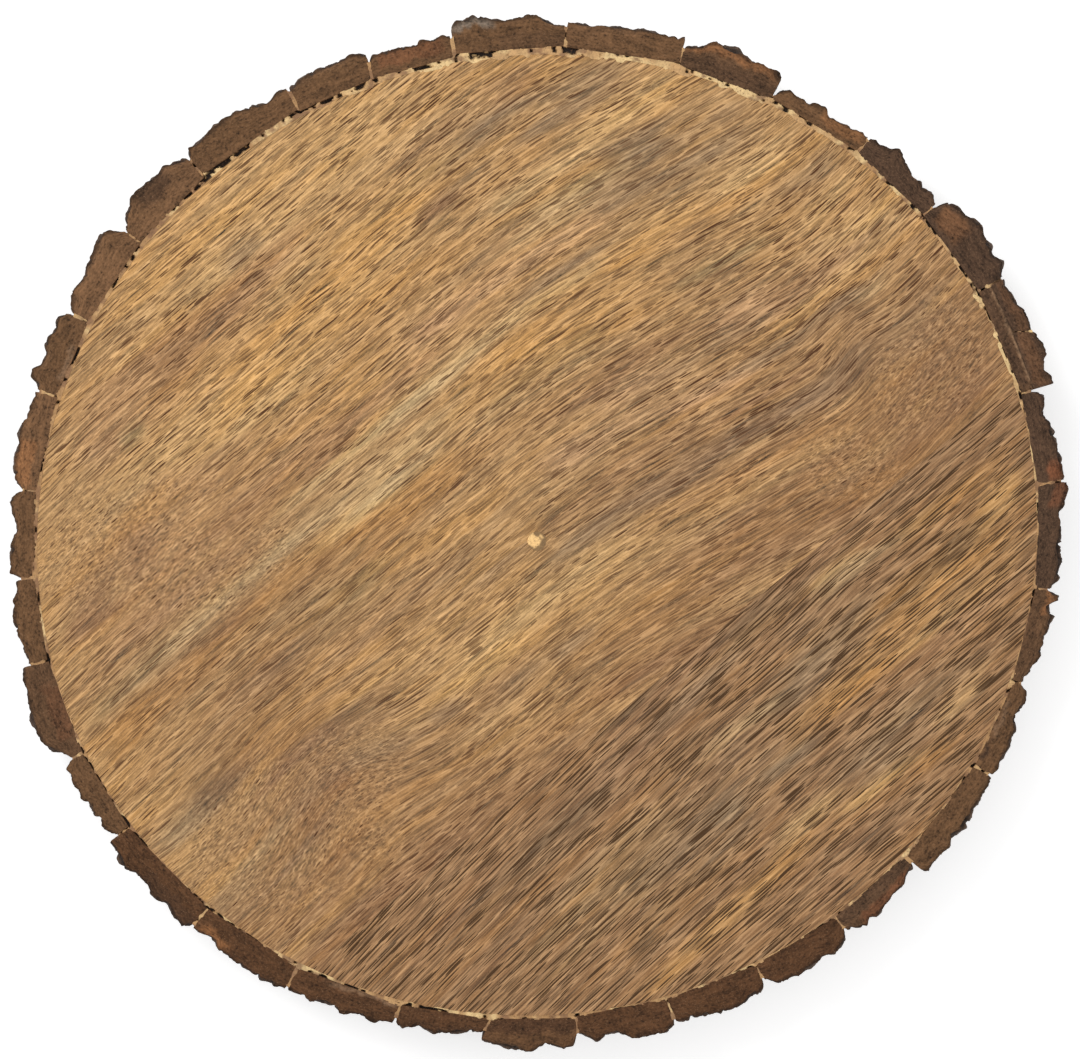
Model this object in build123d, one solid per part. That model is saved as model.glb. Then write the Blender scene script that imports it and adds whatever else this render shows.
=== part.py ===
from build123d import *
import math
import os

# Round chopping block. Two boards are glued edge to edge and cut to a slightly oval disc, and pieces of
# bark are glued round its rim, bedded in pale filler.
# Millimetres, +Z up. The origin is the centre of the disc's bottom face. Angles are in degrees,
# counter-clockwise from +X as the block is seen from above, and run on past 360 round the rim.

# The oval disc
BOARD_LENGTH = 313.0
BOARD_WIDTH = 299.0
BOARD_THICKNESS = 30.0
BOARD_ANGLE = 15.0

# The glued joint between the two boards: its distance from the centre and its direction
JOINT_DISTANCE = 59.0
JOINT_ANGLE = 39.75

# The filled hole near the middle of the disc
PLUG_DIAMETER = 6.0
PLUG_DEPTH = 12.0
PLUG_OFFSET = 1.9

# The bark, the filler behind it, the slots between its pieces and the split between two chips of it
BARK_THICKNESS = 10.0
FILLER_THICKNESS = 0.5
SEAM_WIDTH = 1.0
SPLIT_WIDTH = 0.5

# Room for a cut to pass right through
OVERRUN = 5.0

# One row for each slot between two stretches of bark: the angles of its inner and outer ends, and how deep
# its filler is, as a share of the shorter end of bark beside it.
SEAM_SHARES = [
    (353.90, 353.95, 0.75),
    (365.75, 365.85, 0.80),
    (376.20, 376.20, 0.70),
    (388.90, 388.90, 0.60),
    (399.60, 399.60, 0.70),
    (410.00, 410.10, 0.85),
    (421.75, 421.70, 0.75),
    (433.20, 433.25, 0.80),
    (446.70, 446.70, 0.90),
    (459.75, 459.75, 0.75),
    (470.00, 469.50, 0.90),
    (479.30, 479.20, 0.85),
    (492.90, 492.80, 0.80),
    (503.65, 503.55, 0.60),
    (514.65, 514.60, 0.85),
    (523.90, 523.90, 0.85),
    (535.00, 535.05, 0.75),
    (544.90, 544.90, 0.80),
    (554.40, 554.40, 0.75),
    (565.65, 565.65, 0.80),
    (575.60, 575.60, 0.80),
    (588.60, 588.65, 0.85),
    (601.05, 601.05, 0.85),
    (613.75, 613.65, 0.70),
    (624.70, 623.40, 0.75),
    (634.65, 634.60, 0.80),
    (645.60, 645.85, 0.85),
    (657.00, 656.95, 0.80),
    (667.95, 668.00, 0.75),
    (678.85, 678.85, 0.70),
    (692.15, 692.05, 0.85),
    (703.00, 703.00, 0.80),
]

# One row for each stretch of bark, from the slot of the same row to the next: the filler behind its middle
# as a share of the filler's thickness, the reach of the bark at its first end, its outer edge as pairs of
# angle and reach, and its reach at the other end. A reach is a share of the bark's thickness, measured out
# from the flat face that the bark is glued to.
BARK_SHARES = [
    (0.6, 0.57, [(355, 0.72), (357, 0.83), (359, 0.76), (360, 0.85), (361.5, 0.87), (362.5, 0.79),
                 (364, 0.89)], 0.97),
    (0.6, 0.88, [(368, 0.94), (369.2, 0.95), (370, 0.85), (372, 0.75), (373.5, 0.65), (374.5, 0.69),
                 (375.5, 0.64)], 0.47),
    (0.7, 0.40, [(383.1, 0.48)], 0.44),
    (1.4, 1.03, [(390.4, 1.29), (391.7, 1.15), (392.3, 1.30), (394, 1.27), (395, 1.34), (397, 1.23),
                 (398, 1.16), (399, 0.96)], 0.51),
    (2.0, 0.59, [(400.6, 0.71), (402, 0.62), (403, 0.82), (403.7, 0.75), (405.2, 0.89), (406.2, 1.07),
                 (406.9, 1.05), (407.5, 0.89), (409, 0.67)], 0.63),
    (2.6, 0.61, [(411, 0.69), (413, 0.58), (415, 0.53), (415.6, 0.73), (417, 0.57), (419, 0.50),
                 (420.5, 0.58), (421.2, 0.38)], 0.16),
    (2.2, 0.87, [(423, 0.96), (424.8, 1.07), (425.5, 1.01), (427.9, 1.19), (430, 1.18), (430.7, 1.11),
                 (431.2, 0.96), (432, 0.78)], 0.68),
    (3.0, 0.94, [(435, 0.87), (437.7, 1.01), (440, 0.98), (441, 0.95), (442.7, 1.04), (444, 0.97)], 0.84),
    (3.8, 0.70, [(448, 0.83), (449, 0.99), (450, 1.07), (452, 1.14), (454, 1.10), (457, 1.16),
                 (459, 1.07)], 0.97),
    (2.6, 0.76, [(462, 0.85), (464, 0.76), (466, 0.82), (467, 0.84), (469, 0.72)], 0.61),
    (2.8, 0.89, [(471, 1.03), (473, 1.10), (474.5, 1.13), (476, 1.03), (477, 1.04)], 0.89),
    (3.4, 0.79, [(480.5, 0.88), (482, 0.79), (483, 0.86), (483.7, 0.98), (485, 1.09), (486, 1.13),
                 (488, 1.07), (491, 1.07), (492, 1.03)], 0.73),
    (2.4, 0.88, [(494, 1.12), (495.5, 1.23), (496.3, 1.19), (498, 1.29), (500.5, 1.28), (501, 1.19),
                 (502.5, 0.99)], 0.64),
    (2.4, 0.73, [(504.4, 0.99), (505.4, 1.25), (506.8, 1.25), (508.3, 1.09), (509.3, 1.13), (510, 1.04),
                 (512.4, 1.04), (513, 0.84), (514, 0.76)], 0.58),
    (2.6, 0.77, [(515.5, 1.03), (517, 1.00), (518, 1.06), (519, 1.05), (519.6, 0.95), (521, 0.91),
                 (521.8, 1.09), (522.6, 1.04), (523.1, 0.78)], 0.66),
    (1.8, 0.74, [(526, 0.80), (527.7, 0.98), (530, 0.89), (532, 0.93), (533.3, 0.79), (534.3, 0.69)], 0.54),
    (2.0, 0.54, [(536.3, 0.85), (538, 0.79), (539.5, 0.70), (541, 0.75), (544.2, 0.74)], 0.49),
    (1.8, 0.60, [(546, 0.72), (547, 0.84), (550, 0.90), (551.5, 0.92), (553, 0.77)], 0.67),
    (0.8, 0.94, [(556.3, 1.10), (557, 1.07), (559, 1.23), (560, 1.31), (562, 1.21), (563, 1.12),
                 (564, 0.97), (565, 0.61)], 0.44),
    (1.4, 0.46, [(566.4, 0.70), (567, 0.79), (568.5, 0.82), (569.1, 0.74), (570, 0.84), (571, 0.73),
                 (572, 0.77), (574, 0.66)], 0.52),
    (0.7, 0.83, [(577, 0.85), (578.3, 1.08), (579, 1.10), (580, 0.90), (582, 0.91), (582.8, 1.03),
                 (584, 0.94), (585, 0.92), (586.5, 1.06), (587.8, 1.02)], 0.80),
    (1.2, 0.80, [(591.7, 0.82), (592.5, 0.94), (595, 1.02), (598, 1.09), (600, 0.96)], 0.87),
    (1.8, 0.81, [(603, 0.87), (604, 0.95), (605.6, 0.84), (607.5, 0.92), (608.3, 0.81), (610, 0.82),
                 (611.7, 0.79), (612.4, 0.68)], 0.65),
    (2.0, 0.56, [(614.8, 0.66), (616.2, 0.64), (618.2, 0.76), (620, 0.68), (622, 0.58)], 0.51),
    (2.2, 0.80, [(625, 0.91), (627, 1.01), (629, 1.14), (630.2, 1.02), (631.3, 0.93), (633, 1.05),
                 (634, 0.91)], 0.67),
    (1.0, 0.66, [(636, 0.79), (636.7, 0.89), (639.3, 0.83), (640.8, 1.09), (641.6, 0.99), (642.5, 1.08),
                 (644.6, 1.10)], 0.90),
    (0.8, 0.80, [(647.5, 0.88), (649, 1.03), (650.3, 1.02), (651, 1.09), (653.7, 1.14), (655, 0.97),
                 (656, 0.84)], 0.67),
    (0.7, 0.57, [(658, 0.90), (658.8, 1.00), (660, 0.90), (661, 1.06), (664, 0.91), (665.3, 1.02),
                 (666.5, 0.97), (667.4, 0.80)], 0.57),
    (0.7, 0.63, [(669.5, 0.82), (670.2, 0.88), (670.8, 0.76), (671.7, 0.91), (674, 0.78), (676, 0.71),
                 (678, 0.50)], 0.39),
    (0.7, 0.78, [(680, 0.89), (681, 0.94), (682, 0.90), (683, 0.97), (684, 0.88), (685.7, 0.99),
                 (687, 0.88), (688.3, 0.86), (691, 0.83)], 0.66),
    (1.8, 0.60, [(693, 0.70), (696, 0.78), (698, 0.71), (698.9, 0.60), (701, 0.65), (702.3, 0.47)], 0.29),
    (0.7, 0.34, [(704, 0.42), (705, 0.57), (706, 0.66), (707.5, 0.75), (710, 0.77), (711, 0.83),
                 (711.5, 0.62), (712.2, 0.57), (712.8, 0.84), (713.3, 0.84)], 0.49),
]

# The stretch that is a thin strip with two chips outside it, the split between the chips (the angle and
# reach of its outer end, and the depth of its filler as a share of that reach), and the outer edges of the
# chips, in the form used above.
STRIP_STRETCH = 2
SPLIT_SHARE = (382.2, 0.70, 0.90)
CHIP_SHARES = [
    (0.69, [(378, 0.66), (379.5, 0.85), (380.3, 0.76), (381, 0.82)], 0.71),
    (0.72, [(384.3, 0.75), (385, 0.66), (386, 0.56), (388, 0.45)], 0.53),
]

# The bark's outer face from the bottom to the top: a height as a share of the disc's thickness, the part of
# the full reach that the bark has there, and how much of that its knobs take away at most.
LEVEL_SHARES = [(0.0, 0.84, 0.14), (0.35, 0.97, 0.07), (0.7, 1.0, 0.0), (1.0, 0.95, 0.08)]

# How fast the knobs come and go from one point of an outline to the next, and from one level to the next
POINT_TURN = 2.0
LEVEL_TURN = 2.6


class Seam:
    """A narrow slot between two neighbouring pieces of bark."""

    def __init__(self, base, tip, width):
        self.outward = (tip - base).normalized()
        side = self.outward.rotate(Axis.Z, 90) * (width / 2)
        self.after = base + side
        self.before = base - side


class Bed:
    """A flat upright face that bark is glued to, as a point on it and the way along it."""

    def __init__(self, point, along):
        self.point = point
        self.along = along

    def corner(self, side, outward):
        """Where this face runs into one side of a slot."""
        return meet(self.point, self.along, side, outward)

    def out(self, angle, share):
        """The point that a share of the bark's thickness reaches, out from this face at one angle."""
        outward = direction(angle)
        return meet(self.point, self.along, Vector(0, 0), outward) + outward * (share * BARK_THICKNESS)


def direction(angle):
    """The way out from the centre at one angle."""
    turn = math.radians(angle)
    return Vector(math.cos(turn), math.sin(turn))


def meet(first, first_way, second, second_way):
    """The point where two lines in the plane cross, each a point and a direction."""
    gap = second - first
    cross = first_way.X * second_way.Y - first_way.Y * second_way.X
    return first + first_way * ((gap.X * second_way.Y - gap.Y * second_way.X) / cross)


def rim_point(angle, beyond=0):
    """A point on the disc's edge at one angle, or a distance beyond it."""
    turn = math.radians(angle - BOARD_ANGLE)
    radius = 1 / math.hypot(math.cos(turn) / (BOARD_LENGTH / 2), math.sin(turn) / (BOARD_WIDTH / 2))
    return direction(angle) * (radius + beyond)


def rim_seam(inner_angle, outer_angle):
    """The slot between two stretches of bark."""
    return Seam(rim_point(inner_angle), rim_point(outer_angle, BARK_THICKNESS), SEAM_WIDTH)


def rim_bed(start_angle, end_angle, filler_share):
    """The flat face of the filler behind one stretch of bark, clear of the disc's curved edge."""
    along = (rim_point(end_angle) - rim_point(start_angle)).normalized()
    outward = along.rotate(Axis.Z, -90)
    turn = math.atan2(outward.Y, outward.X) - math.radians(BOARD_ANGLE)
    furthest = math.hypot(BOARD_LENGTH / 2 * math.cos(turn), BOARD_WIDTH / 2 * math.sin(turn))
    return Bed(outward * (furthest + filler_share * FILLER_THICKNESS), along)


def level_share(level, count):
    """The part of the full reach that bark has at one level and one point of its outline."""
    full_share, knob_share = LEVEL_SHARES[level][1:]
    wave = 0.5 + 0.5 * math.sin(POINT_TURN * count + LEVEL_TURN * level)
    return full_share * (1 - knob_share * wave)


def bark_ring(bed, start, end, row, level, count):
    """The closed outline of one piece of bark at one level."""
    first_share, edge_shares, last_share = row
    inner = [bed.corner(start.after, start.outward), bed.corner(end.before, end.outward)]
    first_reach = first_share * level_share(level, count) * BARK_THICKNESS
    last_reach = last_share * level_share(level, count + len(edge_shares) + 1) * BARK_THICKNESS
    points = [inner[0], inner[0] + start.outward * first_reach]
    for step, (angle, share) in enumerate(edge_shares, start=1):
        points.append(bed.out(angle, share * level_share(level, count + step)))
    points += [inner[1] + end.outward * last_reach, inner[1]]
    height = Vector(0, 0, LEVEL_SHARES[level][0] * BOARD_THICKNESS)
    return Wire.make_polygon([point + height for point in points], close=True)


def bark_piece(bed, start, end, row, count):
    """One piece of bark: flat behind, below, above and at its ends, and knobbly outside."""
    rings = [bark_ring(bed, start, end, row, level, count) for level in range(len(LEVEL_SHARES))]
    return Solid.make_loft(rings, ruled=True)


def prism(points):
    """An upright block as thick as the disc, on a closed outline at the bottom."""
    outline = Face(Wire.make_polygon(points, close=True))
    return Solid.extrude(outline, Vector(0, 0, BOARD_THICKNESS))


def slot_prism(corners, seam, depth):
    """Filler in a slot, from the faces that the bark is glued to out to its own depth."""
    out = seam.outward * depth
    return prism(corners + [corner + out for corner in reversed(corners)])


def disc():
    """The whole oval disc, before the joint divides it."""
    oval = Ellipse(BOARD_LENGTH / 2, BOARD_WIDTH / 2, rotation=BOARD_ANGLE)
    return extrude(oval, BOARD_THICKNESS)


def side_block():
    """A block that covers everything beyond the glued joint."""
    size = BOARD_LENGTH + 2 * OVERRUN
    align = (Align.CENTER, Align.MAX, Align.MIN)
    block = Box(size, size, BOARD_THICKNESS + 2 * OVERRUN, align=align)
    return Rot(0, 0, JOINT_ANGLE) * Pos(0, -JOINT_DISTANCE, -OVERRUN) * block


def plug():
    """The round filling, flush with the top of the disc."""
    align = (Align.CENTER, Align.CENTER, Align.MAX)
    return Pos(0, -PLUG_OFFSET, BOARD_THICKNESS) * Cylinder(PLUG_DIAMETER / 2, PLUG_DEPTH, align=align)


def make_boards():
    """The two boards, and the plug in the wider one."""
    whole = disc()
    beyond = side_block()
    filling = plug()
    return {
        "board_main": whole - beyond - filling,
        "board_side": whole & beyond,
        "centre_plug": filling,
    }


def make_strip(bed, start, end):
    """The thin strip of bark, and the two flat faces on its outside."""
    first_share, edge_shares, last_share = BARK_SHARES[STRIP_STRETCH][1:]
    inner = [bed.corner(start.after, start.outward), bed.corner(end.before, end.outward)]
    first = inner[0] + start.outward * (first_share * BARK_THICKNESS)
    middle = bed.out(*edge_shares[0])
    last = inner[1] + end.outward * (last_share * BARK_THICKNESS)
    faces = [Bed(first, (middle - first).normalized()), Bed(middle, (last - middle).normalized())]
    return prism([inner[0], first, middle, last, inner[1]]), faces


def make_chips(faces, start, end, count):
    """The two chips outside the strip, and the filler in the split between them."""
    split_angle, split_share, fill_share = SPLIT_SHARE
    middle = faces[1].point
    split = Seam(middle, faces[1].out(split_angle, split_share), SPLIT_WIDTH)
    chips = [
        bark_piece(faces[0], start, split, CHIP_SHARES[0], count),
        bark_piece(faces[1], split, end, CHIP_SHARES[1], count + len(CHIP_SHARES[0][1])),
    ]
    corners = [faces[0].corner(split.before, split.outward), middle,
               faces[1].corner(split.after, split.outward)]
    out = split.outward * (split_share * fill_share * BARK_THICKNESS)
    return chips, prism([*corners, corners[2] + out, corners[0] + out])


def make_rim():
    """The bark all round, the filler behind it and the filler in the slots."""
    seams = [rim_seam(inner_angle, outer_angle) for inner_angle, outer_angle, _ in SEAM_SHARES]
    bark = []
    fillings = []
    corners = []
    for place, (filler_share, *row) in enumerate(BARK_SHARES):
        after = (place + 1) % len(seams)
        start, end = seams[place], seams[after]
        bed = rim_bed(SEAM_SHARES[place][0], SEAM_SHARES[after][0], filler_share)
        corners.append((bed.corner(start.after, start.outward), bed.corner(end.before, end.outward)))
        if place == STRIP_STRETCH:
            strip, faces = make_strip(bed, start, end)
            chips, filling = make_chips(faces, start, end, place)
            bark += [strip, *chips]
            fillings.append(filling)
        else:
            bark.append(bark_piece(bed, start, end, row, place))
    for place, seam in enumerate(seams):
        shorter_share = min(BARK_SHARES[place - 1][3], BARK_SHARES[place][1])
        depth = SEAM_SHARES[place][2] * shorter_share * BARK_THICKNESS
        fillings.append(slot_prism([corners[place - 1][1], corners[place][0]], seam, depth))
    band = prism([corner for pair in corners for corner in pair]) - disc()
    return bark, fillings, band


def main():
    """Builds every piece and writes one STEP file for each node."""
    nodes = make_boards()
    bark, fillings, band = make_rim()
    for number, piece in enumerate(bark, start=1):
        nodes[f"bark_{number:02d}"] = piece
    nodes["rim_filler"] = band
    nodes["seam_filler"] = Compound(children=fillings)
    os.makedirs("parts", exist_ok=True)
    for name, piece in nodes.items():
        export_step(piece, f"parts/{name}.step")


main()
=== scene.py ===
import logging
import math
from dataclasses import dataclass, field
from enum import Enum
from typing import Any, Optional

import bpy
import numpy as np
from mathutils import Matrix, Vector


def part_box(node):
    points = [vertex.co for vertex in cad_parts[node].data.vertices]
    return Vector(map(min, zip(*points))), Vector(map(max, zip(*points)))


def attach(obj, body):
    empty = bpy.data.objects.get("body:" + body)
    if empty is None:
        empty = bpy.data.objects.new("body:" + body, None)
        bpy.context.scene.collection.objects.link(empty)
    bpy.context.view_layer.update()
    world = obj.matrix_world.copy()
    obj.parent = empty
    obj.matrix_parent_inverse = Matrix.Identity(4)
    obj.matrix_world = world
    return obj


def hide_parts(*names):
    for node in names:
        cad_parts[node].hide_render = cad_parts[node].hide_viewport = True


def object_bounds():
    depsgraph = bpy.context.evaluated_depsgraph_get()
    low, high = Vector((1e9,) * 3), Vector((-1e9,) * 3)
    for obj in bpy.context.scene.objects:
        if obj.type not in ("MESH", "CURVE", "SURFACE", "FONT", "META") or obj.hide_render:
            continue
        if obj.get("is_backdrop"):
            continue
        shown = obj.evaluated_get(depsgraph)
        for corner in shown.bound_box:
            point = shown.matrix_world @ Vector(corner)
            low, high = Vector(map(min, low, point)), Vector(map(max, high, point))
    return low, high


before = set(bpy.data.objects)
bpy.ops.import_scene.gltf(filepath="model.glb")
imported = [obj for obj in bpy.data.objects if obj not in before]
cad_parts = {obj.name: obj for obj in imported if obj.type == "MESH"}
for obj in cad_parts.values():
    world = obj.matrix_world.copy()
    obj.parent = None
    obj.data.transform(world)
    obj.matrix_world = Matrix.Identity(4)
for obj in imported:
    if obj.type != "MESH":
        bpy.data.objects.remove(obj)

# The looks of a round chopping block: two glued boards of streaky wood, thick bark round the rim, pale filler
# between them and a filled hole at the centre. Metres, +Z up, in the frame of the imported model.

LOG = logging.getLogger("chopping_block")
MM = 0.001
SAME_LEVEL = 0.01 * MM
FULL_TURN = 2 * math.pi
BODY = "root"
Array = np.ndarray
Colour = tuple[float, float, float]


def linear(red: float, green: float, blue: float) -> Colour:
    """Turns a colour as a screen shows it into the light that it stands for.

    A part of up to 0.04045 is divided by 12.92. A greater one gets 0.055 added, is divided by 1.055 and
    raised to the power of 2.4.

    Args:
        red, green, blue: The colour, each part from 0 to 255.

    Returns:
        The three parts as linear light, each from 0 to 1.
    """
    parts = np.array([red, green, blue]) / 255
    light = np.where(parts <= 0.04045, parts / 12.92, ((parts + 0.055) / 1.055) ** 2.4)
    return tuple(float(part) for part in light)


class Tone(Enum):
    """A named colour."""

    @property
    def light(self) -> Array:
        """The colour's three parts as linear light."""
        return np.array(self.value)


class Wood(Tone):
    """The tones that run through the two boards."""

    PLAIN = linear(180, 137, 86)
    DULL = linear(146, 106, 68)
    HONEY = linear(200, 158, 102)
    CREAM = linear(196, 164, 116)
    GOLD = linear(194, 146, 86)
    PEACH = linear(196, 150, 104)
    ORANGE = linear(172, 124, 68)
    PINK = linear(164, 121, 82)
    OLIVE = linear(152, 124, 82)
    GREY = linear(138, 110, 80)
    BROWN = linear(138, 98, 64)
    DARK = linear(106, 79, 52)


class BarkTone(Tone):
    """The tones of the bark's sawn faces and of its crust, and the painted shade of its clefts, hollows and
    rim.
    """

    DUSK = linear(79, 58, 43)
    PLAIN = linear(93, 67, 46)
    TAN = linear(103, 74, 49)
    FAWN = linear(112, 81, 55)
    RUST = linear(84, 56, 35)
    DARK = linear(58, 42, 32)
    PALE = linear(138, 108, 82)
    RED = linear(122, 74, 48)
    ORANGE = linear(164, 110, 68)
    LICHEN = linear(134, 124, 112)
    CRUST = linear(86, 68, 55)
    # Painted shade, near black, for the clefts, the hollows and the outer rim.
    SHADE = linear(28, 20, 15)


class FillerTone(Tone):
    """The tones of the filler of glue and wood dust, and the painted shade of its pits."""

    CREAM = linear(230, 196, 140)
    BRIGHT = linear(255, 208, 140)
    PINK = linear(200, 158, 108)
    TAN = linear(178, 136, 90)
    BROWN = linear(138, 100, 70)
    # Painted shade for the pits, near black.
    PIT_SHADE = linear(40, 27, 20)


def fade(values: Array, low: float, high: float) -> Array:
    """Goes smoothly from 0 where values are at low to 1 where they are at high."""
    share = np.clip((values - low) / (high - low), 0, 1)
    return share * share * (3 - 2 * share)


def toned(colours: Array, tone: Tone, share: Array) -> Array:
    """Moves each colour towards a tone, by a share of the way for each."""
    return colours + share[:, None] * (tone.light - colours)


def even_shares(length: float, pitch: float) -> Array:
    """Shares from 0 to 1 that divide a length into steps of about one pitch."""
    return np.linspace(0, 1, max(2, round(length / pitch)) + 1)


def laid_flat(points: Array) -> Array:
    """The points put down on the floor, so that what is worked out from them is the same at each height."""
    return points * np.array([1, 1, 0])


class Noise:
    """Smooth seeded noise in three directions, for shapes and for stains."""

    def __init__(self, seed: int, size: int = 32) -> None:
        """Fills a block of random heights that repeats in each direction."""
        self.size = size
        self.heights = np.random.default_rng(seed).random((size, size, size)) * 2 - 1

    def smooth(self, points: Array, pitch: Any) -> Array:
        """Blends the eight random heights round each point with smooth weights.

        Args:
            points: Places, one row of three for each.
            pitch: The distance between two heights, one number or one for each direction.

        Returns:
            One height for each point, from -1 to 1.
        """
        place = np.asarray(points) / pitch
        low = np.floor(place).astype(int)
        share = fade(place - low, 0, 1)
        total = np.zeros(len(place))
        for corner in np.ndindex(2, 2, 2):
            step = np.array(corner)
            weight = np.where(step, share, 1 - share).prod(1)
            at = (low + step) % self.size
            total += weight * self.heights[at[:, 0], at[:, 1], at[:, 2]]
        return total

    def rough(self, points: Array, pitch: Any, layers: int = 3) -> Array:
        """Adds layers of smooth noise, each half as high and half as wide as the last.

        Args:
            points: Places, one row of three for each.
            pitch: The distance between two heights of the first layer.
            layers: How many layers there are.

        Returns:
            One height for each point, about from -1 to 1.
        """
        pitch = np.asarray(pitch, float)
        return sum(self.smooth(points + layer, pitch / 2**layer) / 2**layer for layer in range(layers))


def cells(places: Array, pitch: tuple[float, float], seed: int, size: int = 64) -> tuple[Array, Array, Array]:
    """Divides a sheet into cells round one random point in each square of a grid.

    Args:
        places: Points of the sheet, one row of two for each.
        pitch: The width and height of a square.
        seed: What the random points come from.
        size: The number of squares each way after which the random points repeat.

    Returns:
        For each place the distances to the nearest and next nearest point, in squares, and a random
        number from 0 to 1 that is the same all over one cell.
    """
    random = np.random.default_rng(seed).random((size, size, 3))
    scaled = places / np.array(pitch)
    square = np.floor(scaled).astype(int)
    gaps, marks = [], []
    for step in np.ndindex(3, 3):
        at = square + np.array(step) - 1
        own = random[at[:, 0] % size, at[:, 1] % size]
        gaps.append(np.hypot(*(at + own[:, :2] - scaled).T))
        marks.append(own[:, 2])
    gaps = np.array(gaps)
    order = np.argsort(gaps, axis=0)
    nearest, second = np.take_along_axis(gaps, order[:2], axis=0)
    return nearest, second, np.take_along_axis(np.array(marks), order[:1], axis=0)[0]


@dataclass(frozen=True)
class Skin:
    """The outside of a block: three shares for each point, and faces of four points each."""

    shares: Array
    faces: Array


def block_skin(first: Array, second: Array, third: Array, ring: bool = False) -> Skin:
    """Makes the outside of a block whose three directions are a right-handed set.

    Each end of each direction is a sheet of the block's points. The sheets at the low ends, and the one at
    the high end of the second direction, have the order of their corners turned round to face outwards.

    Args:
        first, second, third: The shares from 0 to 1 at which each direction is divided.
        ring: Whether the second direction closes on itself, so that the block has no ends there.

    Returns:
        The skin, with each point once and its faces outwards.
    """
    counts = [len(first), len(second), len(third)]
    place = np.stack(np.meshgrid(*[np.arange(count) for count in counts], indexing="ij"), -1)
    edge = (place == 0) | (place == np.array(counts) - 1)
    if ring:
        edge[..., 1] = False
    on_skin = edge.any(-1)
    number = np.full(counts, -1)
    number[on_skin] = np.arange(on_skin.sum())
    if ring:
        number = np.concatenate([number, number[:, :1]], axis=1)
    shares = np.stack(np.meshgrid(first, second, third, indexing="ij"), -1)[on_skin]
    faces = []
    for axis in (0, 2) if ring else (0, 1, 2):
        for end in (0, -1):
            sheet = np.take(number, end, axis=axis)
            around = [sheet[:-1, :-1], sheet[1:, :-1], sheet[1:, 1:], sheet[:-1, 1:]]
            quads = np.stack(around, -1).reshape(-1, 4)
            faces.append(quads if (end == -1) != (axis == 1) else quads[:, ::-1])
    return Skin(shares, np.concatenate(faces))


@dataclass
class Piece:
    """One visible piece, as numpy arrays, until it stands in the scene for the node of the same name.

    Its colours, vectors and values vary from point to point and are there for the finish to read. An
    edge stays sharp where its faces meet at more than the crease, in degrees.
    """

    name: str
    points: Array
    faces: Array
    slot: str
    colours: dict[str, Array] = field(default_factory=dict)
    vectors: dict[str, Array] = field(default_factory=dict)
    values: dict[str, Array] = field(default_factory=dict)
    crease: float = 38.0

    def place(self, material: bpy.types.Material) -> bpy.types.Object:
        """Makes the object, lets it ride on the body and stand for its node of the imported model.

        Args:
            material: The finish that it gets.

        Returns:
            The object, with its place in its mesh.
        """
        mesh = bpy.data.meshes.new(f"{self.name}_dressed")
        count = len(self.faces)
        mesh.vertices.add(len(self.points))
        mesh.vertices.foreach_set("co", self.points.astype(np.float32).ravel())
        mesh.loops.add(count * 4)
        mesh.loops.foreach_set("vertex_index", self.faces.astype(np.int32).ravel())
        mesh.polygons.add(count)
        mesh.polygons.foreach_set("loop_start", np.arange(0, count * 4, 4, dtype=np.int32))
        mesh.polygons.foreach_set("use_smooth", np.ones(count, bool))
        mesh.update(calc_edges=True)
        mesh.set_sharp_from_angle(angle=math.radians(self.crease))
        self.write(mesh)
        mesh.materials.append(material)
        made = bpy.data.objects.new(f"{self.name}_dressed", mesh)
        bpy.context.scene.collection.objects.link(made)
        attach(made, BODY)
        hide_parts(self.name)
        LOG.info("%s: %d points, %d faces", self.name, len(self.points), count)
        return made

    def write(self, mesh: bpy.types.Mesh) -> None:
        """Writes what varies from point to point into the mesh.

        Args:
            mesh: The mesh, which has its points already.
        """
        for name, value in self.colours.items():
            rows = np.concatenate([value, np.ones((len(value), 1))], axis=1)
            layer = mesh.attributes.new(name, "FLOAT_COLOR", "POINT")
            layer.data.foreach_set("color", rows.astype(np.float32).ravel())
        for name, value in self.vectors.items():
            layer = mesh.attributes.new(name, "FLOAT_VECTOR", "POINT")
            layer.data.foreach_set("vector", value.astype(np.float32).ravel())
        for name, value in self.values.items():
            layer = mesh.attributes.new(name, "FLOAT", "POINT")
            layer.data.foreach_set("value", value.astype(np.float32))


class Wire:
    """One output of a shader node, on which Python's arithmetic works."""

    def __init__(self, pen: "Pen", socket: bpy.types.NodeSocket) -> None:
        """Keeps the output and the pen that drew its node."""
        self.pen = pen
        self.socket = socket

    def maths(self, operation: str, *values: Any) -> "Wire":
        """Draws one Math node on the given values."""
        return self.pen.node("ShaderNodeMath", {"operation": operation}, dict(enumerate(values)))

    def output(self, name: str) -> "Wire":
        """Another output of the same node."""
        return Wire(self.pen, self.socket.node.outputs[name])

    def __add__(self, other: Any) -> "Wire":
        """This value plus another."""
        return self.maths("ADD", self, other)

    def __sub__(self, other: Any) -> "Wire":
        """This value minus another."""
        return self.maths("SUBTRACT", self, other)

    def __rsub__(self, other: Any) -> "Wire":
        """Another value minus this one."""
        return self.maths("SUBTRACT", other, self)

    def __mul__(self, other: Any) -> "Wire":
        """This value times another."""
        return self.maths("MULTIPLY", self, other)

    __radd__ = __add__
    __rmul__ = __mul__

    def fade(self, low: Any, high: Any) -> "Wire":
        """Goes smoothly from 0 where this value is at low to 1 where it is at high."""
        sockets = {"Value": self, "From Min": low, "From Max": high}
        return self.pen.node("ShaderNodeMapRange", {"interpolation_type": "SMOOTHSTEP"}, sockets)


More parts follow.
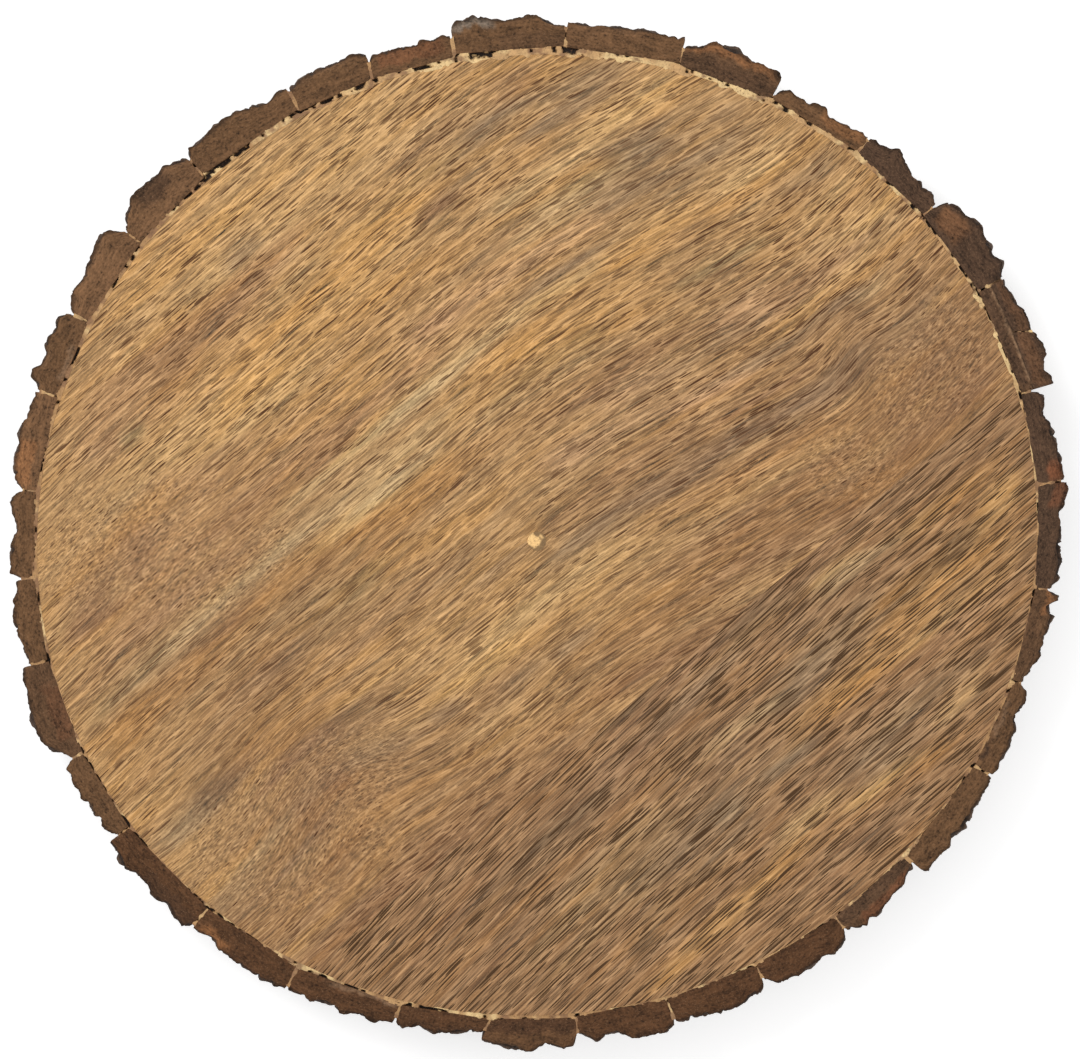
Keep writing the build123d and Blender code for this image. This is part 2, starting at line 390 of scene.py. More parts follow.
class Pen:
    """Draws the nodes of one material, or of the world."""

    def __init__(self, owner: bpy.types.ID, shader: str = "Principled BSDF") -> None:
        """Turns the nodes on and finds the shader.

        Args:
            owner: The material or the world.
            shader: The name of the shader that it starts with.
        """
        self.owner = owner
        self.owner.use_nodes = True
        self.tree = owner.node_tree
        self.shader = self.tree.nodes[shader]

    @classmethod
    def material(cls, name: str) -> "Pen":
        """The pen of a new material."""
        return cls(bpy.data.materials.new(name))

    def node(self, kind: str, settings: dict[str, Any], sockets: dict[Any, Any], output: Any = 0) -> Wire:
        """Draws one node.

        Args:
            kind: The node's type.
            settings: What is chosen on the node itself, set first.
            sockets: The values and wires of its inputs, by name or number.
            output: The name or number of the output that is wanted.

        Returns:
            That output.
        """
        made = self.tree.nodes.new(kind)
        for name, value in settings.items():
            setattr(made, name, value)
        for name, value in sockets.items():
            self.join(made.inputs[name], value)
        return Wire(self, made.outputs[output])

    def join(self, socket: bpy.types.NodeSocket, value: Any) -> None:
        """Gives an input what it needs.

        Args:
            socket: The input.
            value: A wire, or a number, colour or row of numbers of its own.
        """
        if isinstance(value, Wire):
            self.tree.links.new(value.socket, socket)
        elif socket.type == "RGBA":
            socket.default_value = (*value, 1.0)
        else:
            socket.default_value = value

    def attribute(self, name: str, output: str = "Fac") -> Wire:
        """What the mesh holds under one name."""
        return self.node("ShaderNodeAttribute", {"attribute_name": name}, {}, output)

    def stretched(self, vector: Wire, along: float, across: float, up: float = 1.0) -> Wire:
        """A vector in units of three lengths, one for each of its parts."""
        sockets = {0: vector, 1: (1 / along, 1 / across, 1 / up)}
        return self.node("ShaderNodeVectorMath", {"operation": "MULTIPLY"}, sockets, "Vector")

    def noise(self, vector: Wire, layers: float, flat: bool = True, twist: float = 0.0) -> Wire:
        """Noise whose waves are one unit of a vector long.

        Args:
            vector: Where the noise is read.
            layers: How many finer layers are added to the first.
            flat: Whether only the first two parts of the vector count.
            twist: How far the waves are bent.

        Returns:
            Values of about -1 to 1.
        """
        settings = {"noise_dimensions": "2D" if flat else "3D"}
        sockets = {"Vector": vector, "Scale": 1.0, "Detail": layers, "Distortion": twist}
        return self.node("ShaderNodeTexNoise", settings, sockets) * 2.0 - 1.0

    def mix(self, factor: Any, first: Any, second: Any, blend: str = "MIX") -> Wire:
        """A mix of two colours."""
        settings = {"data_type": "RGBA", "blend_type": blend, "clamp_factor": True}
        return self.node("ShaderNodeMix", settings, {0: factor, 6: first, 7: second}, 2)

    def scaled(self, colour: Wire, factor: Any) -> Wire:
        """A colour made lighter or darker by a factor."""
        sockets = {0: colour, "Scale": factor}
        return self.node("ShaderNodeVectorMath", {"operation": "SCALE"}, sockets, "Vector")

    def bump(self, height: Wire, distance: float) -> Wire:
        """A normal that follows a height from 0 to 1, which stands for the given distance."""
        sockets = {"Strength": 1.0, "Distance": distance, "Height": height}
        return self.node("ShaderNodeBump", {}, sockets)

    def finish(self, **sockets: Any) -> bpy.types.ID:
        """Joins the shader's own sockets.

        Args:
            **sockets: Their values and wires, by their names in small letters with _ for each space.

        Returns:
            The material or the world.
        """
        for name, value in sockets.items():
            self.join(self.shader.inputs[name.replace("_", " ").title().replace("Ior", "IOR")], value)
        return self.owner


@dataclass(frozen=True)
class Rise:
    """A number that starts at one value and gains another where a mask is 1."""

    start: float
    gain: float

    def at(self, mask: Wire) -> Wire:
        """The number where the mask has its value."""
        return mask * self.gain + self.start


@dataclass(frozen=True)
class Strokes:
    """Noise drawn out along the grain: the length and width of its waves, in metres, and its layers."""

    along: float
    across: float
    layers: float = 1.0

    def draw(self, pen: Pen, grain: Wire) -> Wire:
        """Draws the noise on the place along and across the grain, about from -1 to 1."""
        return pen.noise(pen.stretched(grain, self.along, self.across), self.layers)


@dataclass(frozen=True)
class Mottle:
    """Noise in all three directions: the size of its waves, in metres, its layers and its twist."""

    size: tuple[float, float, float]
    layers: float
    twist: float = 0.0

    def draw(self, pen: Pen, place: Wire) -> Wire:
        """Draws the noise at a place, about from -1 to 1."""
        return pen.noise(pen.stretched(place, *self.size), self.layers, False, self.twist)


@dataclass(frozen=True)
class Pores:
    """One layer of open pores: dashes along the grain, one in each cell of a jittered grid.

    A pore reaches a random share of its cell between the least and the most, and is fully open over the
    share of that reach which is its core. Round it, out to that reach plus the highlight reach, the wood
    is painted lighter: a painted highlight where light would catch the pore's edge.
    """

    pitch_along: float
    pitch_across: float
    least: float
    most: float
    depth: float = 1.0
    core: float = 0.65
    highlight_reach: float = 0.2
    strength: Rise = Rise(0.4, 0.6)

    def draw(self, pen: Pen, grain: Wire) -> tuple[Wire, Wire]:
        """Draws the layer: near the middle of its cell a dash is open, and round it a painted highlight makes
        the wood paler.

        Args:
            pen: The pen of the material.
            grain: The place along and across the grain.

        Returns:
            How open the pore is, and how strong the painted highlight round it, both from 0 to 1.
        """
        place = pen.stretched(grain, self.pitch_along, self.pitch_across)
        cell = pen.node("ShaderNodeTexVoronoi", {"voronoi_dimensions": "2D"}, {"Vector": place, "Scale": 1.0})
        chance = pen.node("ShaderNodeSeparateColor", {}, {0: cell.output("Color")}, "Red")
        strength = self.strength.at(chance.output("Green"))
        reach = chance * (self.most - self.least) + self.least
        opening = cell.fade(reach, reach * self.core) * strength * self.depth
        # Painted highlight: the wood round the pore, out past its reach, is made lighter where light would
        # catch its edge.
        beside = cell.fade(reach + self.highlight_reach, reach)
        return opening, beside


@dataclass(frozen=True)
class OiledWood:
    """Open-pored wood with a thin dull oil finish.

    It reads the boards' tint, their grain, how coarse their pores are, and how far these are cut across and
    show as dots. The strokes draw its fibres and strands, which lighten and darken the tint by their shares.
    """

    name: str = "main_board_wood"
    pores: tuple[Pores, ...] = (
        Pores(28 * MM, 1.20 * MM, 0.15, 0.25),
        Pores(16 * MM, 1.03 * MM, 0.16, 0.28),
        Pores(9 * MM, 0.87 * MM, 0.17, 0.32, 0.9),
    )
    dots: tuple[Pores, ...] = (
        Pores(4.8 * MM, 0.85 * MM, 0.12, 0.32, 0.8),
        Pores(2.8 * MM, 0.70 * MM, 0.10, 0.28, 0.6),
    )
    fine: Strokes = Strokes(15 * MM, 0.58 * MM)
    fibre: Strokes = Strokes(28 * MM, 0.95 * MM)
    grit: Strokes = Strokes(3.0 * MM, 0.62 * MM)
    strand: Strokes = Strokes(55 * MM, 2.8 * MM, 2.0)
    cluster: Strokes = Strokes(18 * MM, 3.4 * MM, 2.0)
    drift: Strokes = Strokes(70 * MM, 6 * MM, 2.0)
    wander: Strokes = Strokes(24 * MM, 7 * MM)
    speck: Strokes = Strokes(0.5 * MM, 0.5 * MM, 2.0)
    wander_width: float = 0.5 * MM
    base_light: float = 0.98
    strand_share: float = 0.22
    fine_share: float = 0.85
    fibre_share: float = 0.5
    grit_share: float = 0.95
    speck_share: float = 0.3
    dots_calm: float = 0.65
    wave_share: Rise = Rise(0.95, 0.35)
    highlight_share: Rise = Rise(0.6, 0.4)
    highlight_strength: float = 0.4
    line_least: Rise = Rise(0.72, 0.28)
    line_share: Rise = Rise(0.85, 0.55)
    line_strength: float = 1.0
    cluster_strand: float = 0.5
    cluster_edge: float = 0.5
    drift_edge: float = 0.4
    warm: Colour = (1.05, 1.0, 0.86)
    cool: Colour = (0.96, 0.99, 1.05)
    ridge_highlight_edges: tuple[float, float] = (0.05, 0.5)
    ridge_highlight_wave: float = 0.16
    ridge_pore_highlight: float = 0.25
    highlight_colour: Colour = linear(222, 194, 152)
    pore_colour: Colour = linear(84, 48, 20)
    level: float = 0.7
    pore_drop: float = 0.6
    wave_rise: float = 0.15
    relief: float = 0.14 * MM
    roughness: float = 0.62
    wave_roughness: float = 0.06
    pore_roughness: float = 0.2
    gloss: float = 0.35

    def material(self) -> bpy.types.Material:
        """Draws the finish: the tint with its fibres, a drift of warmth, a painted highlight on the fibre
        ridges and beside the pores, then the pores.

        Returns:
            The material.
        """
        pen = Pen.material(self.name)
        grain = pen.attribute("grain", "Vector")
        tint = pen.attribute("tint", "Color")
        speckle = pen.attribute("speckle")
        coarse = pen.attribute("coarse")
        push = pen.node("ShaderNodeCombineXYZ", {}, {"Y": self.wander.draw(pen, grain) * self.wander_width})
        grain = pen.node("ShaderNodeVectorMath", {"operation": "ADD"}, {0: grain, 1: push}, "Vector")
        calm = 1.0 - speckle * self.dots_calm
        wave = self.fine.draw(pen, grain) * self.fine_share + self.fibre.draw(pen, grain) * self.fibre_share
        grit = self.grit.draw(pen, grain) * speckle * self.grit_share
        wave = wave * calm * self.wave_share.at(coarse) + grit
        strand = self.strand.draw(pen, grain)
        lines, lines_highlight = self.layers(pen, grain, self.pores)
        dots, dots_highlight = self.layers(pen, grain, self.dots)
        # Painted highlight: pale is how much lighter the wood beside the pores and dots is painted, where
        # light would catch their edges.
        pale = (lines_highlight * calm + dots_highlight * speckle) * self.highlight_share.at(coarse) * self.highlight_strength
        light = self.base_light + strand * self.strand_share + wave
        light = light + self.speck.draw(pen, grain) * self.speck_share + pale
        colour = pen.scaled(tint, light)
        drift = self.drift.draw(pen, grain)
        for hue, edge in ((self.warm, self.drift_edge), (self.cool, -self.drift_edge)):
            colour = pen.mix(drift.fade(0.0, edge), colour, pen.mix(1.0, colour, hue, "MULTIPLY"))
        # Painted highlight: the crests of the fibre wave, which also stand up in the bump, and the wood beside
        # the pores are mixed towards cream.
        ridge_highlight = wave.fade(*self.ridge_highlight_edges) * self.ridge_highlight_wave + pale * self.ridge_pore_highlight
        colour = pen.mix(ridge_highlight, colour, self.highlight_colour)
        cluster = self.cluster.draw(pen, grain) + strand * self.cluster_strand
        cluster = cluster.fade(self.cluster_edge, -self.cluster_edge)
        weight = self.line_least.at(cluster) * self.line_share.at(coarse) * self.line_strength
        opening = lines * calm * weight + dots * speckle
        colour = pen.mix(opening, colour, self.pore_colour)
        normal = pen.bump(self.level - opening * self.pore_drop + wave * self.wave_rise, self.relief)
        rough = self.roughness + wave * self.wave_roughness + opening * self.pore_roughness
        return pen.finish(base_color=colour, roughness=rough, normal=normal, specular_ior_level=self.gloss)

    def layers(self, pen: Pen, grain: Wire, pores: tuple[Pores, ...]) -> tuple[Wire, Wire]:
        """Draws layers of pores over each other, the most open winning.

        Args:
            pen: The pen of the material.
            grain: The place along and across the grain.
            pores: The layers.

        Returns:
            How open the pores are, and how strong the painted highlight beside them.
        """
        opening, beside = pores[0].draw(pen, grain)
        for layer in pores[1:]:
            more, more_highlight = layer.draw(pen, grain)
            opening = opening.maths("MAXIMUM", opening, more)
            beside = beside.maths("MAXIMUM", beside, more_highlight)
        return opening, beside


@dataclass(frozen=True)
class RoughBark:
    """Bark, sawn flat above and below and rough outside. It reads the tint, the layers and the clefts, and
    paints shade into the clefts and the hollows.
    """

    layer: Mottle = Mottle((8 * MM, 1.1 * MM, 10 * MM), 2.0, 0.5)
    blotch: Mottle = Mottle((4.5 * MM, 3.0 * MM, 4 * MM), 2.0)
    speck: Mottle = Mottle((0.8 * MM, 0.75 * MM, 0.8 * MM), 3.0)
    dust: Mottle = Mottle((0.36 * MM, 0.36 * MM, 0.36 * MM), 1.0)
    base_light: float = 1.10
    layer_share: float = 0.5
    blotch_share: float = 0.7
    dust_edges: tuple[float, float] = (0.12, 0.50)
    dust_bed: tuple[float, float] = (-0.3, 0.2)
    dust_share: float = 0.7
    hollow_shade_edges: tuple[float, float] = (-0.20, -0.50)
    hollow_shade_share: float = 0.6
    cleft_shade_share: float = 0.9
    level: float = 0.5
    layer_rise: float = 0.2
    speck_rise: float = 0.4
    dust_rise: float = 0.15
    relief: float = 0.30 * MM
    roughness: float = 0.86
    speck_roughness: float = 0.08
    gloss: float = 0.2

    def material(self) -> bpy.types.Material:
        """Draws the finish: tint, layers along the rim, blotches, specks, pale dust, and painted shade in the
        hollows of the specks and in the clefts.

        Returns:
            The material.
        """
        pen = Pen.material("bark")
        place = pen.attribute("layers", "Vector")
        tint = pen.attribute("tint", "Color")
        layer, speck, dust = (mottle.draw(pen, place) for mottle in (self.layer, self.speck, self.dust))
        blotch = self.blotch.draw(pen, place)
        light = self.base_light + layer * self.layer_share + blotch * self.blotch_share + speck
        colour = pen.scaled(tint, light)
        dusty = dust.fade(*self.dust_edges) * speck.fade(*self.dust_bed) * self.dust_share
        colour = pen.mix(dusty, colour, BarkTone.PALE.value)
        # Painted shade: near black where the specks' relief lies lowest.
        colour = pen.mix(speck.fade(*self.hollow_shade_edges) * self.hollow_shade_share, colour, BarkTone.SHADE.value)
        # Painted shade: near black in the clefts and cracks, as the mesh's cleft value says.
        colour = pen.mix(pen.attribute("cleft") * self.cleft_shade_share, colour, BarkTone.SHADE.value)
        height = self.level + layer * self.layer_rise + speck * self.speck_rise + dust * self.dust_rise
        normal = pen.bump(height, self.relief)
        rough = self.roughness + speck * self.speck_roughness
        return pen.finish(base_color=colour, roughness=rough, normal=normal, specular_ior_level=self.gloss)


@dataclass(frozen=True)
class PaleFiller:
    """Dry filler with wood dust in it, pitted and stained."""

    stain: Mottle = Mottle((3 * MM, 3 * MM, 3 * MM), 3.0)
    grit: Mottle = Mottle((0.55 * MM, 0.55 * MM, 0.55 * MM), 2.0)
    stain_share: float = 0.3
    grit_share: float = 0.4
    dust_edges: tuple[float, float] = (-0.2, -0.5)
    dust_share: float = 0.7
    relief: float = 0.2 * MM
    roughness: float = 0.8
    grit_roughness: float = 0.08

    def material(self) -> bpy.types.Material:
        """Draws the finish: tint, stains a few millimetres wide, fine grit and brown wood dust.

        Returns:
            The material.
        """
        pen = Pen.material("filler")
        place = pen.node("ShaderNodeTexCoord", {}, {}, "Object")
        stain, grit = self.stain.draw(pen, place), self.grit.draw(pen, place)
        light = 1.0 + stain * self.stain_share + grit * self.grit_share
        colour = pen.scaled(pen.attribute("tint", "Color"), light)
        colour = pen.mix(grit.fade(*self.dust_edges) * self.dust_share, colour, FillerTone.BROWN.value)
        normal = pen.bump(grit * 0.5 + 0.5, self.relief)
        rough = self.roughness + grit * self.grit_roughness
        return pen.finish(base_color=colour, roughness=rough, normal=normal)


@dataclass(frozen=True)
class Oval:
    """The oval outline of the disc, about the origin."""

    length: float = 313 * MM
    width: float = 299 * MM
    turn: float = math.radians(15)
    steps: int = 7200

    def radius(self, angle: Array) -> Array:
        """The distance from the centre to the edge at an angle."""
        own = np.asarray(angle) - self.turn
        return 1 / np.hypot(np.cos(own) * 2 / self.length, np.sin(own) * 2 / self.width)

    def rim(self, angle: Array) -> Array:
        """The points of the edge at some angles, one row of two for each."""
        return self.radius(angle)[..., None] * np.stack([np.cos(angle), np.sin(angle)], -1)

    def chord(self, way: float, distance: float) -> tuple[float, float]:
        """Finds where a straight line crosses the edge, to the nearest of the steps round it.

        Args:
            way: The line's direction, in radians.
            distance: How far it passes to the left of the centre as one looks along it.

        Returns:
            The angles of the crossing behind and the crossing ahead.
        """
        angle = np.linspace(0, FULL_TURN, self.steps + 1)
        side = self.rim(angle) @ np.array([-math.sin(way), math.cos(way)]) - distance
        crossed = angle[:-1][np.sign(side[:-1]) != np.sign(side[1:])]
        ahead = self.rim(crossed) @ np.array([math.cos(way), math.sin(way)])
        return float(crossed[np.argmin(ahead)]), float(crossed[np.argmax(ahead)])


@dataclass(frozen=True)
class Bend:
    """A place where the grain lines bulge, as round a knot that lies deeper in the wood, in millimetres."""

    x: float
    y: float
    along: float
    across: float
    lift: float


@dataclass(frozen=True)
class GrainFlow:
    """How the grain of a board runs.

    The knots give its angle in degrees at places in millimetres from left to right. The lean tilts the
    lines on which the angle stays the same, and the bends push the grain aside.
    """

    knots: tuple[tuple[float, float], ...]
    lean: float = 0.0
    bends: tuple[Bend, ...] = ()
    main_way: float = math.radians(38)
    reach: float = 250 * MM
    steps: int = 2001

    def lines(self, x: Array, y: Array) -> tuple[Array, Array]:
        """Works out where places lie in the grain.

        The line through a point climbs by the running sum of the tangent of the grain's angle, so the
        place across the grain is the point's height over the line through the centre. A bend lowers it
        by its lift times e to the minus squares of the distances along and across, each over its size.

        Args:
            x, y: The places, in metres.

        Returns:
            The places along and across the grain, in metres.
        """
        x, y = np.atleast_1d(np.asarray(x, float)), np.atleast_1d(np.asarray(y, float))
        track = np.linspace(-self.reach, self.reach, self.steps)
        angle = np.interp(track, *np.array(self.knots).T * np.array([[MM], [math.radians(1)]]))
        slope = np.tan(angle) / (1 + self.lean * np.tan(angle))
        climb = np.cumsum(slope) * (track[1] - track[0])
        climb -= np.interp(0, track, climb)
        cos, sin = math.cos(self.main_way), math.sin(self.main_way)
        across = (y - np.interp(x + self.lean * y, track, climb)) * cos
        along = x * cos + y * sin
        for bend in self.bends:
            gap_x, gap_y = x - bend.x * MM, y - bend.y * MM
            ahead = (gap_x * cos + gap_y * sin) / (bend.along * MM)
            aside = (gap_y * cos - gap_x * sin) / (bend.across * MM)
            across = across - bend.lift * MM * np.exp(-(ahead**2) - aside**2)
        return along, across


@dataclass(frozen=True)
class Streak:
    """A streak or patch of one tone along the grain: its middle and size in millimetres, and its strength."""

    x: float
    y: float
    length: float
    width: float
    tone: Wood
    strength: float


@dataclass(frozen=True)
class Area:
    """An oval area of the disc: its middle and size in millimetres."""

    x: float
    y: float
    length: float
    width: float

    def gap(self, x: Array, y: Array) -> Array:
        """How far each place lies from the middle, as a share of the way to the oval's edge."""
        return np.hypot((x / MM - self.x) / (self.length / 2), (y / MM - self.y) / (self.width / 2))


@dataclass(frozen=True)
class Timber:
    """What a board is cut from: its grain, plain tone, how coarse its pores are and what runs through it."""

    flow: GrainFlow
    plain: Wood
    coarse: float
    streaks: tuple[Streak, ...]


MAIN_FLOW = GrainFlow(
    knots=((-170, 46), (-130, 42), (-90, 39.5), (-10, 39.5), (22, 34), (40, 30.5), (95, 30.5), (112, 40),
           (125, 44.5), (170, 45)),
    lean=0.25,
    bends=(Bend(-62, -78, 26, 20, 7.0), Bend(-100, -92, 34, 14, -3.0), Bend(100, 62, 12, 16, 2.5)),
)
SIDE_FLOW = GrainFlow(
    knots=((-60, 47), (-20, 44.5), (20, 43), (60, 41.5), (110, 40), (150, 41)),
    bends=(Bend(95, -15, 16, 10, 1.6), Bend(60, -62, 18, 8, 1.4)),
)

# Each row holds the fields of one streak in their order, and lies over the rows before it.
MAIN_STREAKS = tuple(Streak(*row) for row in (
    (-75, 110, 95, 26, Wood.HONEY, 0.40), (-110, 82, 60, 14, Wood.HONEY, 0.35),
    (-46, 103, 70, 3.5, Wood.OLIVE, 0.60), (-13, 128, 26, 7, Wood.GREY, 0.85),
    (-26, 115, 28, 5, Wood.GREY, 0.75), (-30, 104, 20, 4, Wood.BROWN, 0.70),
    (-9, 140, 18, 7, Wood.BROWN, 0.60), (-32, 124, 30, 5, Wood.BROWN, 0.35),
    (-92, 90, 14, 6, Wood.GREY, 0.50), (-88, 83, 44, 7, Wood.PINK, 0.60),
    (-75, 80, 20, 4, Wood.OLIVE, 0.60), (-97, 70, 46, 8, Wood.PINK, 0.55),
    (-104, 67, 30, 5, Wood.BROWN, 0.60), (-114, 55, 18, 12, Wood.BROWN, 0.60),
    (-126, 52, 34, 8, Wood.BROWN, 0.45), (-132, 38, 40, 14, Wood.PINK, 0.50),
    (-126, 34, 10, 6, Wood.OLIVE, 0.60), (-50, 92, 44, 10, Wood.GOLD, 0.75),
    (-66, 75, 54, 10, Wood.GOLD, 0.70), (-30, 86, 20, 5, Wood.ORANGE, 0.40),
    (-76, 58, 80, 16, Wood.GOLD, 0.60), (-55, 62, 40, 6, Wood.ORANGE, 0.30),
    (-95, 36, 66, 14, Wood.HONEY, 0.60), (-118, 22, 34, 14, Wood.HONEY, 0.60),
    (-66, 28, 26, 7, Wood.GREY, 0.65), (-74, 24, 44, 9, Wood.PINK, 0.60), (-47, 44, 40, 4, Wood.PINK, 0.70),
    (-32, 47, 112, 3.4, Wood.CREAM, 0.85), (-14, 63, 40, 2.6, Wood.HONEY, 0.60),
    (-22, 74, 44, 9, Wood.PEACH, 0.55), (-30, 68, 16, 4, Wood.PINK, 0.50),
    (-19, 49, 26, 4, Wood.GOLD, 0.55), (-47, 19, 50, 9, Wood.CREAM, 0.55),
    (-38, 11, 50, 6, Wood.ORANGE, 0.60), (-64, -8, 44, 8, Wood.ORANGE, 0.75),
    (-72, -16, 22, 4, Wood.BROWN, 0.50), (-93, -29, 52, 8, Wood.ORANGE, 0.65),
    (-98, -30, 22, 4, Wood.BROWN, 0.50), (-114, -47, 44, 9, Wood.ORANGE, 0.65),
    (-126, -64, 26, 13, Wood.ORANGE, 0.80), (-118, -82, 26, 7, Wood.GOLD, 0.50),
    (-112, -6, 70, 30, Wood.PINK, 0.45), (-124, -4, 14, 8, Wood.BROWN, 0.40),
    (-95, 4, 24, 8, Wood.BROWN, 0.30), (-138, -20, 24, 12, Wood.BROWN, 0.45),
    (-132, 8, 26, 9, Wood.HONEY, 0.40), (-86, -10, 50, 4.5, Wood.CREAM, 0.75),
    (-110, -29, 40, 5, Wood.CREAM, 0.60), (-127, -46, 34, 6, Wood.OLIVE, 0.60),
    (-8, 95, 48, 3.4, Wood.GREY, 0.65), (6, 81, 36, 3, Wood.GREY, 0.55), (-8, 104, 14, 5, Wood.OLIVE, 0.60),
    (8, 92, 34, 6, Wood.PEACH, 0.55), (8, 103, 34, 6, Wood.CREAM, 0.60), (15, 87, 40, 3, Wood.GREY, 0.50),
    (8, 116, 46, 4.5, Wood.HONEY, 0.60), (-2, 120, 18, 4, Wood.ORANGE, 0.40),
    (12, 134, 34, 13, Wood.GREY, 0.55), (28, 133, 36, 5.5, Wood.HONEY, 0.80),
    (31, 121, 24, 9, Wood.GREY, 0.80), (52, 124, 34, 16, Wood.GREY, 0.50),
    (30, 108, 34, 11, Wood.GREY, 0.50), (14, 108, 40, 3, Wood.OLIVE, 0.45),
    (68, 116, 26, 8, Wood.HONEY, 0.55), (86, 111, 20, 8, Wood.GREY, 0.50),
    (91, 104, 22, 8, Wood.HONEY, 0.55), (38, 95, 44, 10, Wood.GOLD, 0.75), (29, 86, 22, 7, Wood.GOLD, 0.80),
    (70, 97, 44, 12, Wood.ORANGE, 0.45), (60, 87, 34, 4, Wood.OLIVE, 0.75),
    (98, 94, 40, 6, Wood.HONEY, 0.80), (96, 83, 40, 2.6, Wood.HONEY, 0.50),
    (84, 79, 44, 5, Wood.PINK, 0.60), (52, 78, 26, 6, Wood.GREY, 0.45), (14, 67, 44, 7, Wood.GOLD, 0.85),
    (-6, 56, 30, 6, Wood.GOLD, 0.50), (64, 69, 24, 7, Wood.PEACH, 0.70), (97, 74, 14, 6, Wood.DARK, 0.65),
    (101, 69, 12, 4, Wood.DARK, 0.55), (104, 77, 14, 3.4, Wood.CREAM, 0.50),
    (84, 65, 50, 7, Wood.GREY, 0.45), (2, 50, 40, 6, Wood.OLIVE, 0.65), (30, 54, 56, 4, Wood.BROWN, 0.50),
    (12, 44, 44, 4, Wood.BROWN, 0.45), (52, 56, 44, 11, Wood.GREY, 0.40), (55, 46, 34, 5, Wood.PEACH, 0.80),
    (30, 47, 22, 4, Wood.PEACH, 0.50), (76, 37, 64, 9, Wood.GREY, 0.85), (101, 50, 18, 7, Wood.DARK, 0.55),
    (48, 28, 14, 6, Wood.DARK, 0.40), (70, 32, 26, 4, Wood.DARK, 0.35), (76, 47, 44, 2.4, Wood.BROWN, 0.60),
    (130, 58, 54, 28, Wood.BROWN, 0.42), (118, 66, 24, 12, Wood.GREY, 0.45),
    (136, 48, 20, 10, Wood.BROWN, 0.40), (104, 31, 34, 18, Wood.ORANGE, 0.40),
    (114, 33, 10, 7, Wood.BROWN, 0.60), (74, 9, 66, 20, Wood.ORANGE, 0.38),
    (66, 20, 40, 5, Wood.PEACH, 0.35), (96, 7, 14, 9, Wood.BROWN, 0.50), (120, 8, 44, 3, Wood.BROWN, 0.60),
    (134, 21, 20, 7, Wood.GREY, 0.65), (131, 26, 26, 4, Wood.OLIVE, 0.60),
    (143, 18, 14, 6, Wood.GOLD, 0.75), (26, 8, 56, 7, Wood.GREY, 0.75), (2, 5, 9, 5, Wood.DARK, 0.50),
    (24, 20, 60, 8, Wood.PINK, 0.30), (8, 24, 20, 6, Wood.PEACH, 0.60), (24, 33, 36, 6, Wood.PEACH, 0.35),
    (9, -12, 62, 8, Wood.HONEY, 0.75), (44, 2, 60, 9, Wood.HONEY, 0.45), (36, -13, 44, 5, Wood.HONEY, 0.30),
    (0, -26, 60, 7, Wood.HONEY, 0.65), (-14, -37, 34, 7, Wood.HONEY, 0.40),
    (-26, -12, 44, 8, Wood.GREY, 0.45), (-54, -14, 16, 5, Wood.OLIVE, 0.60),
    (-10, -6, 20, 5, Wood.GREY, 0.40), (-70, -26, 44, 11, Wood.OLIVE, 0.50),
    (-80, -36, 40, 9, Wood.BROWN, 0.30), (-48, -28, 44, 9, Wood.PINK, 0.35),
    (-88, -48, 40, 10, Wood.BROWN, 0.40), (-69, -50, 50, 3.6, Wood.GOLD, 0.80),
    (-58, -58, 24, 10, Wood.GREY, 0.45), (-46, -66, 30, 12, Wood.GREY, 0.40),
    (-70, -68, 24, 7, Wood.GREY, 0.70), (-78, -72, 44, 6, Wood.BROWN, 0.35),
    (-98, -78, 24, 7, Wood.GREY, 0.70), (-94, -74, 34, 9, Wood.BROWN, 0.30),
    (-98, -94, 44, 18, Wood.HONEY, 0.70), (-107, -88, 22, 8, Wood.CREAM, 0.50),
    (-90, -107, 34, 9, Wood.CREAM, 0.45), (-68, -90, 20, 12, Wood.GREY, 0.55),
    (-74, -103, 16, 12, Wood.GREY, 0.55), (-54, -94, 44, 10, Wood.ORANGE, 0.30),
    (-44, -44, 60, 12, Wood.HONEY, 0.30), (-28, -68, 40, 10, Wood.HONEY, 0.25),
    (-28, -54, 12, 6, Wood.GREY, 0.50), (-8, -46, 34, 3.4, Wood.GREY, 0.70),
    (12, -32, 18, 7, Wood.GREY, 0.65), (32, -30, 44, 14, Wood.ORANGE, 0.30),
    (46, -18, 30, 6, Wood.GREY, 0.35), (10, -54, 40, 12, Wood.ORANGE, 0.22),
    (-8, -84, 70, 15, Wood.BROWN, 0.50), (12, -70, 30, 8, Wood.BROWN, 0.35),
    (-30, -104, 50, 12, Wood.BROWN, 0.45), (-48, -117, 34, 9, Wood.BROWN, 0.80),
    (-42, -129, 16, 9, Wood.DARK, 0.85), (-56, -124, 24, 8, Wood.BROWN, 0.50),
    # The wide patches of the next five rows darken the right and lower parts of the main board and warm its
    # upper left a little.
    (100, 30, 150, 90, Wood.BROWN, 0.46), (-50, -100, 130, 60, Wood.BROWN, 0.50),
    (-100, -30, 90, 60, Wood.BROWN, 0.30), (-80, 80, 120, 50, Wood.GOLD, 0.15),
    (25, -25, 60, 26, Wood.ORANGE, 0.20), (34, -36, 56, 18, Wood.BROWN, 0.50),
    (68, -8, 44, 16, Wood.BROWN, 0.45), (-88, -84, 80, 44, Wood.BROWN, 0.32),
    (-36, 8, 76, 14, Wood.BROWN, 0.22), (120, 26, 60, 40, Wood.BROWN, 0.18),
    (-73, -68, 26, 8, Wood.BROWN, 0.45), (-61, -79, 11, 14, Wood.BROWN, 0.60),
    (-68, -92, 10, 18, Wood.BROWN, 0.45), (-100, -76, 22, 9, Wood.DARK, 0.35),
))
